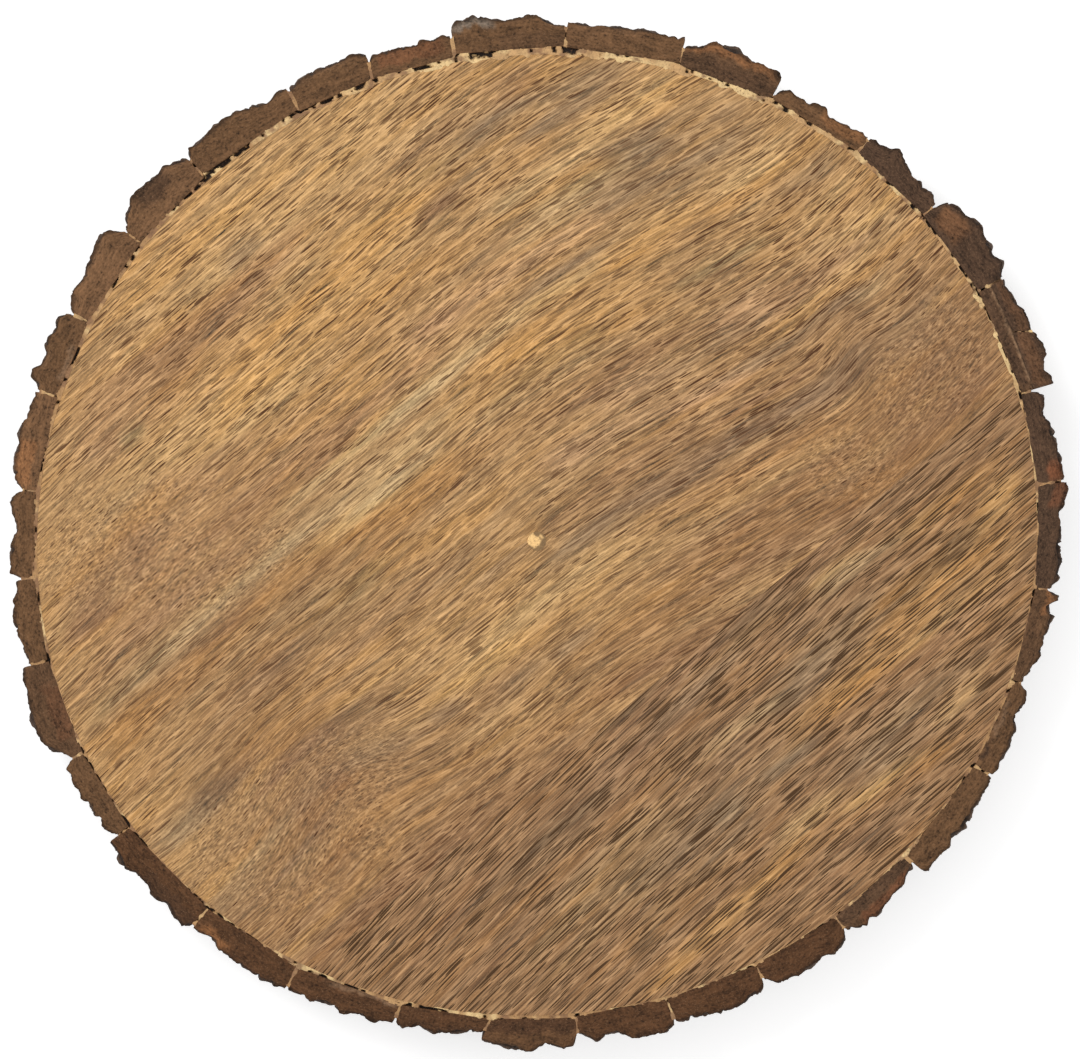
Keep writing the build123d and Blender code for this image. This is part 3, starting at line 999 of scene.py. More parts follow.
SIDE_STREAKS = tuple(Streak(*row) for row in (
    (70, -21, 50, 10, Wood.DARK, 0.50), (84, -8, 26, 9, Wood.BROWN, 0.70),
    (56, -42, 60, 12, Wood.GREY, 0.60), (44, -45, 60, 7, Wood.BROWN, 0.60),
    (27, -56, 40, 3, Wood.DARK, 0.60), (44, -56, 50, 8, Wood.BROWN, 0.40),
    (45, -70, 22, 6, Wood.DARK, 0.65), (24, -74, 40, 6, Wood.BROWN, 0.50),
    (12, -88, 34, 8, Wood.DARK, 0.55), (-4, -104, 54, 8, Wood.DARK, 0.60),
    (-24, -116, 34, 8, Wood.BROWN, 0.60), (64, -60, 46, 4.5, Wood.CREAM, 0.45),
    (92, -32, 40, 13, Wood.GREY, 0.65), (93, -12, 24, 6, Wood.CREAM, 0.55),
    (106, -6, 44, 3, Wood.CREAM, 0.40), (118, 4, 44, 3.4, Wood.DARK, 0.50),
    (128, 10, 40, 5, Wood.ORANGE, 0.60), (124, -13, 60, 9, Wood.ORANGE, 0.90),
    (131, -4, 46, 4.5, Wood.DARK, 0.95), (138, 4, 22, 4, Wood.DARK, 0.70),
    (110, -24, 34, 3, Wood.DARK, 0.60), (112, -34, 46, 8, Wood.ORANGE, 0.75),
    (100, -45, 26, 6, Wood.ORANGE, 0.45), (126, -27, 30, 4, Wood.HONEY, 0.45),
    (135, -26, 36, 9, Wood.PINK, 0.55), (133, -50, 20, 7, Wood.HONEY, 0.35),
    (140, -8, 34, 22, Wood.ORANGE, 0.45), (144, 12, 20, 8, Wood.GOLD, 0.60),
    (116, -56, 44, 9, Wood.GREY, 0.60), (106, -66, 30, 8, Wood.GREY, 0.45),
    (123, -68, 14, 6, Wood.ORANGE, 0.40), (108, -76, 28, 6, Wood.HONEY, 0.55),
    (86, -54, 26, 5, Wood.ORANGE, 0.60), (77, -51, 14, 6, Wood.DARK, 0.45),
    (79, -68, 24, 7, Wood.GREY, 0.80), (60, -86, 12, 7, Wood.GREY, 0.90),
    (50, -94, 60, 20, Wood.GREY, 0.45), (84, -88, 26, 5, Wood.HONEY, 0.55),
    (70, -108, 50, 6, Wood.ORANGE, 0.85), (50, -128, 44, 6, Wood.ORANGE, 0.75),
    (104, -94, 24, 8, Wood.BROWN, 0.40), (92, -109, 14, 5, Wood.BROWN, 0.60),
    (16, -116, 60, 12, Wood.OLIVE, 0.35), (34, -126, 10, 6, Wood.DARK, 0.45),
    (20, -102, 44, 8, Wood.CREAM, 0.20), (-12, -134, 34, 6, Wood.BROWN, 0.40),
))
DOTTED_AREAS = (
    Area(124, 51, 48, 56), Area(-122, -8, 80, 60), Area(-80, -92, 60, 60),
    Area(100, 20, 44, 26), Area(-60, -72, 40, 30),
)
COARSE_AREAS = (
    (Area(-93, 73, 120, 90), 0.5), (Area(-30, 130, 90, 60), 0.6), (Area(95, 90, 110, 70), 0.7),
    (Area(60, 45, 80, 40), 0.6), (Area(125, 38, 60, 50), 0.0), (Area(-70, -80, 110, 60), 0.1),
    (Area(-60, -10, 60, 60), 0.15), (Area(35, -30, 50, 40), 0.1), (Area(-10, -110, 90, 50), 0.7),
    (Area(-130, 20, 50, 60), 0.5),
)
MAIN_TIMBER = Timber(MAIN_FLOW, Wood.PLAIN, 0.3, MAIN_STREAKS)
SIDE_TIMBER = Timber(SIDE_FLOW, Wood.DULL, 1.0, SIDE_STREAKS)
SIDE_WOOD = OiledWood(
    name="side_board_wood",
    pores=(
        Pores(56 * MM, 1.75 * MM, 0.13, 0.22),
        Pores(32 * MM, 1.45 * MM, 0.14, 0.26),
        Pores(17 * MM, 1.15 * MM, 0.16, 0.31, 0.9),
    ),
    fine=Strokes(18 * MM, 0.65 * MM), fibre=Strokes(34 * MM, 0.95 * MM), fine_share=0.7, fibre_share=0.45,
    wander_width=0.4 * MM, line_strength=1.25, pore_colour=linear(80, 54, 28),
)


@dataclass(frozen=True)
class Arc:
    """The stretch of the disc's edge that bounds one board, as a row of points."""

    points: Array

    def at(self, start: float, end: float, share: Array) -> Array:
        """The points at shares of the way between two places, which are shares of the arc themselves."""
        place, track = start + (end - start) * share, np.linspace(0, 1, len(self.points))
        return np.stack([np.interp(place, track, part) for part in self.points.T], -1)


@dataclass
class Boards:
    """The two boards of the disc, with their shared joint, grain and tones.

    The splits are the shares of a board's arc at which it is divided, and the reaches say how wide the
    boards are as shares of the disc. A streak's edge frays with the noise of the fray pitch and
    wobbles with that of the wobble pitch.
    """

    oval: Oval = field(default_factory=Oval)
    joint_way: float = math.radians(39.75)
    joint_distance: float = 59 * MM
    main_splits: tuple[float, float] = (0.30, 0.70)
    side_splits: tuple[float, float] = (0.26, 0.74)
    main_reach: float = 0.7
    side_reach: float = 0.3
    arc_steps: int = 2001
    height_steps: int = 5
    pitch: float = 1.35 * MM
    fine_pitch: float = 0.4 * MM
    fine_reach: float = 2.2
    hole_along: float = 0.5
    hole_across: float = 0.255
    hole_centre: tuple[float, float] = (0.0, -1.9 * MM)
    hole_radius: float = 3.0 * MM
    hole_depth: float = 0.7 * MM
    hole_slope: float = 0.5 * MM
    hole_raggedness: float = 0.10
    ragged_pitch: float = 1.6 * MM
    wave_pitch: float = 9 * MM
    unevenness: float = 0.05 * MM
    tone_strength: float = 1.2
    fray_pitch: tuple[float, float, float] = (38 * MM, 3.4 * MM, 1.0)
    fray_aside: float = 0.55
    fray_ahead: float = 0.4
    fray_strength: float = 0.4
    wobble_pitch: float = 16 * MM
    wobble_aside: float = 0.2
    wobble_area: float = 0.3
    area_edges: tuple[float, float] = (1.1, 0.6)
    coarse_edges: tuple[float, float] = (1.3, 0.3)
    underside_shift: float = 11 * MM
    noise: Noise = field(default_factory=lambda: Noise(7))

    def build(self, main: bpy.types.Material, side: bpy.types.Material) -> None:
        """Makes both boards, each between the joint and its own arc.

        Args:
            main: The finish of the wide board.
            side: The finish of the narrow board.
        """
        behind, ahead = self.oval.chord(self.joint_way, -self.joint_distance)
        over = np.linspace(ahead, behind + (FULL_TURN if behind < ahead else 0), self.arc_steps)
        under = np.linspace(behind, ahead + (FULL_TURN if ahead < behind else 0), self.arc_steps)
        self.make("board_main", Arc(self.oval.rim(over)), False, MAIN_TIMBER).place(main)
        self.make("board_side", Arc(self.oval.rim(under)), True, SIDE_TIMBER).place(side)

    def make(self, name: str, arc: Arc, below: bool, timber: Timber) -> Piece:
        """Makes one board as a block whose plan fills the area between the joint and its arc.

        Args:
            name: The node that it stands for, and its own name.
            arc: The edge of the disc along the board, counter-clockwise.
            below: Whether the arc lies on the right of the joint.
            timber: The wood that it is cut from.

        Returns:
            The board.
        """
        low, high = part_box(name)
        length = self.oval.length
        along = self.divided(length, self.hole_along)
        reach = length * (self.side_reach if below else self.main_reach)
        across = self.divided(reach, None if below else self.hole_across)
        skin = block_skin(along, across, np.linspace(0, 1, self.height_steps))
        first, second, up = skin.shares.T
        plan = self.plan(arc, below, first, second)
        points = np.column_stack([plan, low.z + up * (high.z - low.z)])
        tint, grain, speckle = self.tones(points, up, timber)
        values = {"speckle": speckle, "coarse": self.coarseness(points, timber)}
        points[:, 2] += self.relief(points, up)
        return Piece(name, points, skin.faces, "board_wood", {"tint": tint}, {"grain": grain}, values)

    def plan(self, arc: Arc, below: bool, along: Array, across: Array) -> Array:
        """Fills the area between four edges: the joint, and three stretches of the arc.

        A place is the mix of the two long edges plus the mix of the two short ones, less the mix of the
        four corners.

        Args:
            arc: The edge of the disc along the board, counter-clockwise.
            below: Whether the arc lies on the right of the joint.
            along, across: The shares of the way along the joint and across the board.

        Returns:
            The places, one row of two for each.
        """
        first, second = self.side_splits if below else self.main_splits
        turn_first, turn_second = arc.at(first, first, along), arc.at(second, second, along)
        start, end = (arc.points[0], arc.points[-1]) if below else (arc.points[-1], arc.points[0])
        joint = start + along[:, None] * (end - start)
        if below:
            near, far = arc.at(first, second, along), joint
            left, right = arc.at(first, 0, across), arc.at(second, 1, across)
            corners = [turn_first, turn_second, start, end]
        else:
            near, far = joint, arc.at(second, first, along)
            left, right = arc.at(1, second, across), arc.at(0, first, across)
            corners = [start, end, turn_second, turn_first]
        a, b = along[:, None], across[:, None]
        twice = (1 - a) * (1 - b) * corners[0] + a * (1 - b) * corners[1]
        twice = twice + (1 - a) * b * corners[2] + a * b * corners[3]
        return (1 - b) * near + b * far + (1 - a) * left + a * right - twice

    def divided(self, length: float, middle: Optional[float]) -> Array:
        """Divides a length evenly, and finer where the filled hole is.

        Args:
            length: The length.
            middle: The share of it at which the hole lies, or None without a hole.

        Returns:
            The shares from 0 to 1.
        """
        shares = even_shares(length, self.pitch)
        if middle is None:
            return shares
        reach = self.fine_reach * self.hole_radius / length
        fine = np.arange(middle - reach, middle + reach, self.fine_pitch / length)
        return np.union1d(shares[np.abs(shares - middle) > reach], fine)

    def relief(self, points: Array, up: Array) -> Array:
        """Works out how far the sawn and sanded faces lie from flat, with the hole that the filling sits in.

        Args:
            points: The points of the board, still flat.
            up: The share of the height at which each lies.

        Returns:
            How far each point moves up.
        """
        wave = self.noise.rough(points, self.wave_pitch, 2) * self.unevenness
        wave = np.minimum(wave - self.unevenness, 0)
        gap = np.hypot(points[:, 0] - self.hole_centre[0], points[:, 1] - self.hole_centre[1])
        ragged = self.hole_radius * (1 + self.hole_raggedness * self.noise.smooth(points, self.ragged_pitch))
        hole = fade(ragged - gap, 0, self.hole_slope) * self.hole_depth
        return np.where(up == 1, wave - hole, np.where(up == 0, -wave, 0))

    def coarseness(self, points: Array, timber: Timber) -> Array:
        """Works out how coarse the pores are: the board's own share, more or less in some wide areas.

        Args:
            points: The points of the board.
            timber: The wood that it is cut from. Wood that is coarse all over has no such areas.

        Returns:
            A share for each point.
        """
        coarse = np.full(len(points), timber.coarse)
        for area, level in COARSE_AREAS if timber.coarse < 1 else ():
            coarse = coarse + fade(area.gap(*points.T[:2]), *self.coarse_edges) * (level - timber.coarse)
        return coarse

    def tones(self, points: Array, up: Array, timber: Timber) -> tuple[Array, Array, Array]:
        """Works out the tone, the place along and across the grain and the dottedness of each point.

        A streak weighs most on its own grain line and fades with the square of the distance across it
        and the fourth power of the distance along it, with an edge that frays along the grain.

        Args:
            points: The points of the board.
            up: The share of the height at which each lies.
            timber: The wood that it is cut from.

        Returns:
            The colours, the places in the grain, one row of three for each, and how far the pores are
            cut across, from 0 to 1.
        """
        along, across = timber.flow.lines(points[:, 0], points[:, 1])
        shift = np.where(up > 0.5, 0, self.underside_shift)
        grain = np.stack([along + shift, across, points[:, 2]], -1)
        fray = self.noise.rough(grain, self.fray_pitch, 2)
        wobble = self.noise.rough(laid_flat(points), self.wobble_pitch, 2)
        colour = np.broadcast_to(timber.plain.light, (len(points), 3)).copy()
        for streak in timber.streaks:
            own_along, own_across = timber.flow.lines(streak.x * MM, streak.y * MM)
            aside = (across + shift - own_across) / (streak.width * MM / 2)
            aside = aside + self.fray_aside * fray + self.wobble_aside * wobble
            ahead = (along - own_along) / (streak.length * MM / 2) + self.fray_ahead * fray
            strength = self.tone_strength * streak.strength * (1 + self.fray_strength * fray)
            colour = toned(colour, streak.tone, np.clip(strength, 0, 1) * np.exp(-(aside**2) - ahead**4))
        gaps = np.min([area.gap(*points.T[:2]) for area in DOTTED_AREAS], axis=0)
        return colour, grain, fade(gaps + self.wobble_area * wobble, *self.area_edges)


def node_corners(name: str, height: Optional[float] = None) -> Array:
    """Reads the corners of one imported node.

    Args:
        name: The node.
        height: The height of the corners that are wanted, or None for all of them.

    Returns:
        One row of three for each corner, or of two with a height, with no repeats.
    """
    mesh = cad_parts[name].data
    corners = np.empty(len(mesh.vertices) * 3)
    mesh.vertices.foreach_get("co", corners)
    corners = np.unique(np.round(corners.reshape(-1, 3), 6), axis=0)
    return corners if height is None else corners[np.abs(corners[:, 2] - height) < SAME_LEVEL][:, :2]


def by_angle(corners: Array) -> tuple[Array, Array]:
    """Puts corners in the order of their angle about the centre.

    Args:
        corners: The corners, one row of two for each.

    Returns:
        The corners and their angles, in that order.
    """
    angle = np.arctan2(corners[:, 1], corners[:, 0])
    order = np.argsort(angle)
    return corners[order], angle[order]


@dataclass(frozen=True)
class BarkOutline:
    """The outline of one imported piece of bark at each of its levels: a straight back and a knobbly front."""

    heights: Array
    back: Array
    front: Array
    shares: Array

    @classmethod
    def read(cls, name: str, heights: Array) -> "BarkOutline":
        """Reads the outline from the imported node.

        At each level the two corners nearest the centre are the back's, and the rest, in the order of
        their angle, are the front's.

        Args:
            name: The node.
            heights: The height of each level.

        Returns:
            The outline, with the shares of the front's length at which its corners lie.
        """
        fronts = []
        for height in heights:
            level = node_corners(name, height)
            turn = math.atan2(*level.mean(0)[::-1])
            spin = np.array([[math.cos(turn), -math.sin(turn)], [math.sin(turn), math.cos(turn)]])
            level = level[np.argsort(np.hypot(*level.T))]
            back, front = level[:2], level[2:]
            back = back[np.argsort((back @ spin)[:, 1])]
            fronts.append(front[np.argsort((front @ spin)[:, 1])])
        front = np.array(fronts)
        steps = np.hypot(*np.diff(front[len(front) // 2], axis=0).T)
        return cls(heights, back, front, np.append(0, np.cumsum(steps)) / steps.sum())

    def length(self) -> float:
        """The length of the back."""
        return float(np.hypot(*(self.back[1] - self.back[0])))

    def depth(self) -> float:
        """The greatest distance from the back to the front."""
        way = (self.back[1] - self.back[0]) / self.length()
        return float(np.abs((self.front - self.back[0]) @ np.array([way[1], -way[0]])).max())

    def plan(self, out: Array, along: Array, height: Array) -> tuple[Array, Array]:
        """Finds places in plan, with the front blended smoothly from level to level.

        Args:
            out: The share of the way from the back to the front.
            along: The share of the way along the piece.
            height: The height of each place.

        Returns:
            The places, one row of two for each, and the way out from the back there, one unit long.
        """
        inner = self.back[0] + along[:, None] * (self.back[1] - self.back[0])
        levels = np.stack([
            np.stack([np.interp(along, self.shares, edge[:, part]) for part in (0, 1)], -1)
            for edge in self.front
        ])
        place = np.interp(height, self.heights, np.arange(len(self.heights)))
        low = np.clip(np.floor(place).astype(int), 0, max(0, len(self.heights) - 2))
        high = np.minimum(low + 1, len(self.heights) - 1)
        share = fade(place - low, 0, 1)[:, None]
        rows = np.arange(len(along))
        outer = levels[low, rows] * (1 - share) + levels[high, rows] * share
        way = outer - inner
        return inner + out[:, None] * way, way / np.hypot(*way.T)[:, None]


def bark_ends(name: str) -> Array:
    """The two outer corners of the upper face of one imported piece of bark."""
    outline = BarkOutline.read(name, np.array([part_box(name)[1].z]))
    return outline.front[0][[0, -1]]


@dataclass(frozen=True)
class Patch:
    """A patch of one tone on a piece of bark: shares along and out where it starts and ends."""

    piece: int
    along: tuple[float, float]
    out: tuple[float, float]
    tone: BarkTone
    strength: float
    soft_end: float = 0.05
    soft_back: float = 0.08
    soft_front: float = 0.15

    def share(self, along: Array, out: Array) -> Array:
        """Works out how much of the tone each place gets, with soft edges.

        Args:
            along, out: The shares of the way along the piece and out from its back.

        Returns:
            The strength inside the patch, 0 outside.
        """
        (start, end), (back, front) = self.along, self.out
        inside = fade(along, start - self.soft_end, start + self.soft_end)
        inside = inside * fade(along, end + self.soft_end, end - self.soft_end)
        inside = inside * fade(out, back - self.soft_back, back + self.soft_back)
        return self.strength * inside * fade(out, front + self.soft_front, front)


PATCHES = (
    Patch(1, (0.82, 1.00), (0.50, 1.00), BarkTone.RED, 0.5),
    Patch(2, (0.02, 0.20), (0.45, 0.95), BarkTone.RED, 0.8),
    Patch(3, (0.00, 1.00), (0.78, 1.00), BarkTone.PALE, 0.9),
    Patch(3, (0.00, 1.00), (0.00, 0.60), BarkTone.DUSK, 0.7),
    Patch(4, (0.00, 1.00), (0.10, 0.60), BarkTone.ORANGE, 0.15),
    Patch(5, (0.00, 1.00), (0.30, 0.75), BarkTone.ORANGE, 0.12),
    Patch(6, (0.57, 0.90), (0.20, 0.75), BarkTone.ORANGE, 0.25),
    Patch(6, (0.00, 0.30), (0.60, 1.00), BarkTone.DARK, 0.3),
    Patch(8, (0.00, 0.47), (0.30, 0.90), BarkTone.ORANGE, 0.30),
    Patch(9, (0.10, 0.95), (0.70, 1.00), BarkTone.ORANGE, 0.45),
    Patch(9, (0.00, 1.00), (0.00, 0.45), BarkTone.DARK, 0.3),
    Patch(10, (0.30, 1.00), (0.50, 1.00), BarkTone.FAWN, 0.5),
    Patch(11, (0.64, 1.00), (0.72, 0.92), BarkTone.LICHEN, 0.6),
    Patch(11, (0.00, 0.60), (0.00, 0.40), BarkTone.DARK, 0.3),
    Patch(12, (0.10, 0.90), (0.30, 0.90), BarkTone.RED, 0.4),
    Patch(15, (0.24, 0.70), (0.50, 1.00), BarkTone.DARK, 0.6),
    Patch(15, (0.60, 1.00), (0.10, 0.60), BarkTone.FAWN, 0.4),
    Patch(17, (0.30, 0.80), (0.00, 0.08), BarkTone.PALE, 0.7),
    Patch(18, (0.50, 0.98), (0.35, 0.95), BarkTone.ORANGE, 0.45),
    Patch(21, (0.20, 0.80), (0.00, 0.40), BarkTone.RED, 0.25),
    Patch(23, (0.40, 1.00), (0.50, 1.00), BarkTone.DARK, 0.4),
    Patch(24, (0.03, 0.35), (0.60, 1.00), BarkTone.ORANGE, 0.45),
    Patch(25, (0.30, 1.00), (0.00, 0.08), BarkTone.PALE, 0.7),
    Patch(27, (0.00, 1.00), (0.45, 1.00), BarkTone.TAN, 0.5),
    Patch(27, (0.00, 1.00), (0.00, 0.40), BarkTone.DARK, 0.3),
    Patch(31, (0.20, 0.90), (0.60, 1.00), BarkTone.RED, 0.5),
    Patch(31, (0.00, 1.00), (0.00, 0.50), BarkTone.DUSK, 0.5),
    Patch(33, (0.08, 0.30), (0.00, 0.15), BarkTone.DARK, 0.8),
    Patch(33, (0.35, 0.80), (0.05, 0.20), BarkTone.PALE, 0.5),
    Patch(34, (0.70, 1.00), (0.60, 1.00), BarkTone.ORANGE, 0.5),
)
SAWN_TONES = (
    (BarkTone.DUSK, (1, 2, 4, 5, 6, 7)),
    (BarkTone.PLAIN, (3, 9, 21, 31, 34)),
    (BarkTone.TAN, (8, 10, 11, 12, 13, 14, 17, 19, 20, 22, 32, 33)),
    (BarkTone.FAWN, (15, 16, 18)),
    (BarkTone.RUST, (23, 24, 25, 26, 27, 28, 29, 30)),
)
OPEN_SHARES = (
    (0, 0.35), (15, 0.50), (22, 0.85), (35, 1.00), (42, 0.60), (52, 0.45), (60, 0.80), (72, 1.00), (85, 0.80),
    (97, 1.00), (112, 0.75), (122, 0.45), (132, 0.30), (145, 0.35), (165, 0.20), (190, 0.35), (205, 0.30),
    (228, 0.25), (243, 0.45), (258, 0.55), (270, 0.50), (285, 0.40), (300, 0.35), (318, 0.45), (332, 0.30),
    (348, 0.40), (360, 0.35),
)


def openness(angle: Array) -> Array:
    """How open the joint round the disc is at some angles in radians: 0 where closed, 1 where widest."""
    degrees, shares = np.array(OPEN_SHARES).T
    return np.interp(np.degrees(angle) % 360, degrees, shares)


@dataclass
class BarkRim:
    """The thirty-four pieces of bark round the rim.

    The plain piece is the inner strip, and the split pieces are that strip and the two chips outside it.
    Widths and pitches are lengths, edges are where something starts and ends.
    """

    count: int = 34
    level_shares: tuple[float, ...] = (0.0, 0.35, 0.7, 1.0)
    plain_piece: int = 3
    split_pieces: tuple[int, ...] = (3, 4, 5)
    pitch: float = 0.45 * MM
    face_pitch: float = 0.7 * MM
    plate: tuple[float, float] = (6.5 * MM, 17 * MM)
    plate_seed: int = 100
    crack: tuple[float, float] = (4.5 * MM, 5.5 * MM)
    crack_seed: int = 200
    warp: tuple[float, float] = (2.2 * MM, 3.5 * MM)
    warp_pitch: float = 7 * MM
    ragged_gap: float = 0.10
    ragged_pitch: float = 2.4 * MM
    cleft_width: float = 0.42
    cleft_depth: float = 1.5 * MM
    cleft_power: float = 1.5
    cleft_least: float = 0.2
    cleft_pitch: tuple[float, float, float] = (9 * MM, 1, 22 * MM)
    cleft_edges: tuple[float, float] = (-0.6, 0.5)
    crack_width: float = 0.16
    crack_depth: float = 0.35 * MM
    crack_pitch: float = 6 * MM
    crack_edges: tuple[float, float] = (-0.2, 0.4)
    crack_shade: float = 0.6
    lump: float = 0.75 * MM
    lump_pitch: tuple[float, float, float] = (4.2 * MM, 1, 9 * MM)
    flake: float = 0.55 * MM
    flake_pitch: float = 6 * MM
    flake_steps: float = 2.5
    flake_mark: float = 1.5
    flake_edges: tuple[float, float] = (0.3, 0.7)
    flake_middle: float = 0.3
    knob: float = 0.35 * MM
    knob_pitch: float = 1.7 * MM
    plain_crust: float = 0.15
    front_width: float = 1.4 * MM
    corner_edges: tuple[float, float] = (-0.6 * MM, 0.9 * MM)
    rough_pitch: float = 3 * MM
    rough_share: float = 0.4
    back_swell: float = 0.40 * MM
    back_width: float = 1.2 * MM
    end_swell: float = 0.27 * MM
    end_width: float = 1.4 * MM
    end_front: tuple[float, float] = (0.2 * MM, 1.6 * MM)
    split_share: float = 0.4
    worn_width: float = 3.2 * MM
    worn_depth: float = 1.3 * MM
    worn_wobble: float = 0.5 * MM
    worn_pitch: float = 7 * MM
    worn_least: float = 0.15
    worn_edges: tuple[float, float] = (-0.3, 0.5)
    plain_worn: float = 0.3
    saw_mark: float = 0.08 * MM
    saw_pitch: float = 1.6 * MM
    end_drop: float = 0.2 * MM
    end_drop_width: float = 0.7 * MM
    top_edges: tuple[float, float] = (0.8, 1.0)
    bottom_edges: tuple[float, float] = (0.1, 0.0)
    bottom_share: float = 0.5
    inner_cleft_shade: float = 0.6
    inner_width: float = 0.8 * MM
    track_step: float = 100 * MM
    layer_step: float = 50 * MM
    crust_step: float = 31 * MM
    face_step: float = 7 * MM
    rim_shade_edges: tuple[float, float] = (0.84, 0.99)
    rim_shade_share: float = 0.7
    rim_shade_wobble: float = 0.05
    patch_wobble: tuple[float, float] = (0.04, 0.10)
    crust_shade_relief: float = 0.8 * MM
    noise: Noise = field(default_factory=lambda: Noise(19))

    def build(self, material: bpy.types.Material) -> None:
        """Makes every piece.

        Args:
            material: The finish of the bark.
        """
        for number in range(1, self.count + 1):
            self.make(number).place(material)

    def crust(self, number: int, track: Array, height: Array) -> tuple[Array, Array, Array]:
        """Works out the rough outside: plates with clefts between, short cracks, lumps, flakes and knobs.

        A cleft is a valley where the nearest and next nearest cell points are equally far. A flake is a
        smooth step of a broad noise.

        Args:
            number: The piece's number.
            track, height: Places along the piece and above the floor.

        Returns:
            How far each place stands out, how much painted shade its clefts and cracks give it from 0 to 1,
            and its knobbliness.
        """
        rough = self.noise.rough
        place = np.stack([track, np.full(len(track), number * self.crust_step), height], -1)
        sheet = np.stack([track, height], -1)
        warp = rough(place, self.warp_pitch)[:, None] * np.array(self.warp)
        nearest, second, mark = cells(sheet + warp, self.plate, self.plate_seed + number)
        gap = second - nearest + self.ragged_gap * rough(place, self.ragged_pitch)
        deep = fade(self.noise.smooth(place + 1, self.cleft_pitch), *self.cleft_edges)
        deep = deep * (1 - self.cleft_least) + self.cleft_least
        cleft = (1 - fade(gap, 0.0, self.cleft_width)) ** self.cleft_power * deep
        nearest, second, _ = cells(sheet - warp, self.crack, self.crack_seed + number)
        crack = 1 - fade(second - nearest, 0.0, self.crack_width)
        crack = crack * fade(self.noise.smooth(place + 2, self.crack_pitch), *self.crack_edges)
        lump = rough(place + 3, self.lump_pitch, 2)
        level = self.flake_steps * rough(place + 4, self.flake_pitch, 2) + self.flake_mark * mark
        flake = (np.floor(level) + fade(level - np.floor(level), *self.flake_edges)) / self.flake_steps
        knob = rough(place + 5, self.knob_pitch)
        push = self.lump * lump + self.flake * (flake - self.flake_middle) + self.knob * knob
        push = push - self.cleft_depth * cleft - self.crack_depth * crack
        return push, np.clip(cleft + self.crack_shade * crack, 0, 1), knob

    def make(self, number: int) -> Piece:
        """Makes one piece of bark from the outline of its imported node.

        The block runs out, along and up. Its front carries the crust, its ends and back swell a little
        towards their neighbours, and its sawn faces keep fine marks and slope down to a worn outer edge.

        Args:
            number: The piece's number.

        Returns:
            The piece.
        """
        name = f"bark_{number:02d}"
        low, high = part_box(name)
        thick = high.z - low.z
        levels = (0.0, 1.0) if number == self.plain_piece else self.level_shares
        outline = BarkOutline.read(name, low.z + np.array(levels) * thick)
        length, depth = outline.length(), outline.depth()
        skin = block_skin(even_shares(depth, self.face_pitch), even_shares(length, self.pitch),
                          even_shares(thick, self.pitch))
        out, along, up = skin.shares.T
        height = low.z + up * thick
        track = along * length + number * self.track_step
        push, cleft, knob = self.crust(number, track, height)
        from_front, from_back = (1 - out) * depth, out * depth
        from_end = np.minimum(along, 1 - along) * length
        plan = self.swollen(number, outline, (out, along, height), (from_front, from_back, from_end), push)
        drop = self.drop(number, plan, knob, from_front, from_end)
        above, below = fade(up, *self.top_edges), fade(up, *self.bottom_edges) * self.bottom_share
        height = height - drop * above + drop * below
        layers = np.stack([track, from_back + number * self.layer_step, height], -1)
        outside = (out == 1) & (up > 0) & (up < 1)
        # Painted shade: the dark of the clefts reaches a little way onto the sawn faces beside the crust.
        inner = self.inner_cleft_shade * cleft * fade(from_front, self.inner_width, 0)
        tint = self.tones(number, out, along, knob, outside, push)
        # The cleft value handed to the finish is how much painted shade each point gets.
        return Piece(name, np.column_stack([plan, height]), skin.faces, "bark", {"tint": tint},
                     {"layers": layers}, {"cleft": np.where(outside, cleft, inner)})

    def swollen(self, number: int, outline: BarkOutline, place: tuple[Array, Array, Array],
                depths: tuple[Array, Array, Array], push: Array) -> Array:
        """Works out the plan of a piece: its front pushed out to the crust, its back and ends swollen.

        Args:
            number: The piece's number.
            outline: Its packed outline.
            place: The shares of the way out and along, and the height of each point.
            depths: The distances from the front, from the back and from the nearer end.
            push: How far the crust stands out.

        Returns:
            The places in plan, one row of two for each.
        """
        out, along, height = place
        from_front, from_back, from_end = depths
        plan, way = outline.plan(out, along, height)
        uneven = 1 + self.rough_share * self.noise.rough(np.column_stack([plan, height]), self.rough_pitch)
        share = fade(from_front, self.front_width, 0) * fade(from_end, *self.corner_edges)
        share = share * (self.plain_crust if number == self.plain_piece else 1.0)
        back = fade(from_back, self.back_width, 0) * (1 - openness(np.arctan2(plan[:, 1], plan[:, 0])))
        plan = plan + way * (share * push - back * self.back_swell * uneven)[:, None]
        side = (outline.back[1] - outline.back[0]) / outline.length() * np.sign(along - 0.5)[:, None]
        swell = self.end_swell * uneven * (self.split_share if number in self.split_pieces else 1.0)
        swell = swell * fade(from_end, self.end_width, 0) * fade(from_front, *self.end_front)
        return plan + side * swell[:, None]

    def drop(self, number: int, plan: Array, knob: Array, from_front: Array, from_end: Array) -> Array:
        """Works out how far a sawn face lies below flat: saw marks, the worn outer edge and the ends.

        Args:
            number: The piece's number.
            plan: The places in plan.
            knob: The knobbliness of the crust at each.
            from_front, from_end: The distances from the front and from the nearer end.

        Returns:
            The drop of each place.
        """
        flat = np.column_stack([plan, np.full(len(plan), number * self.face_step)])
        worn = fade(from_front + self.worn_wobble * knob, self.worn_width, 0) * self.worn_depth
        worn = worn * (self.worn_least + fade(self.noise.smooth(flat, self.worn_pitch), *self.worn_edges))
        worn = worn * (self.plain_worn if number == self.plain_piece else 1.0)
        marks = self.saw_mark * (1 + self.noise.rough(flat, self.saw_pitch))
        return marks + worn + self.end_drop * fade(from_end, self.end_drop_width, 0)

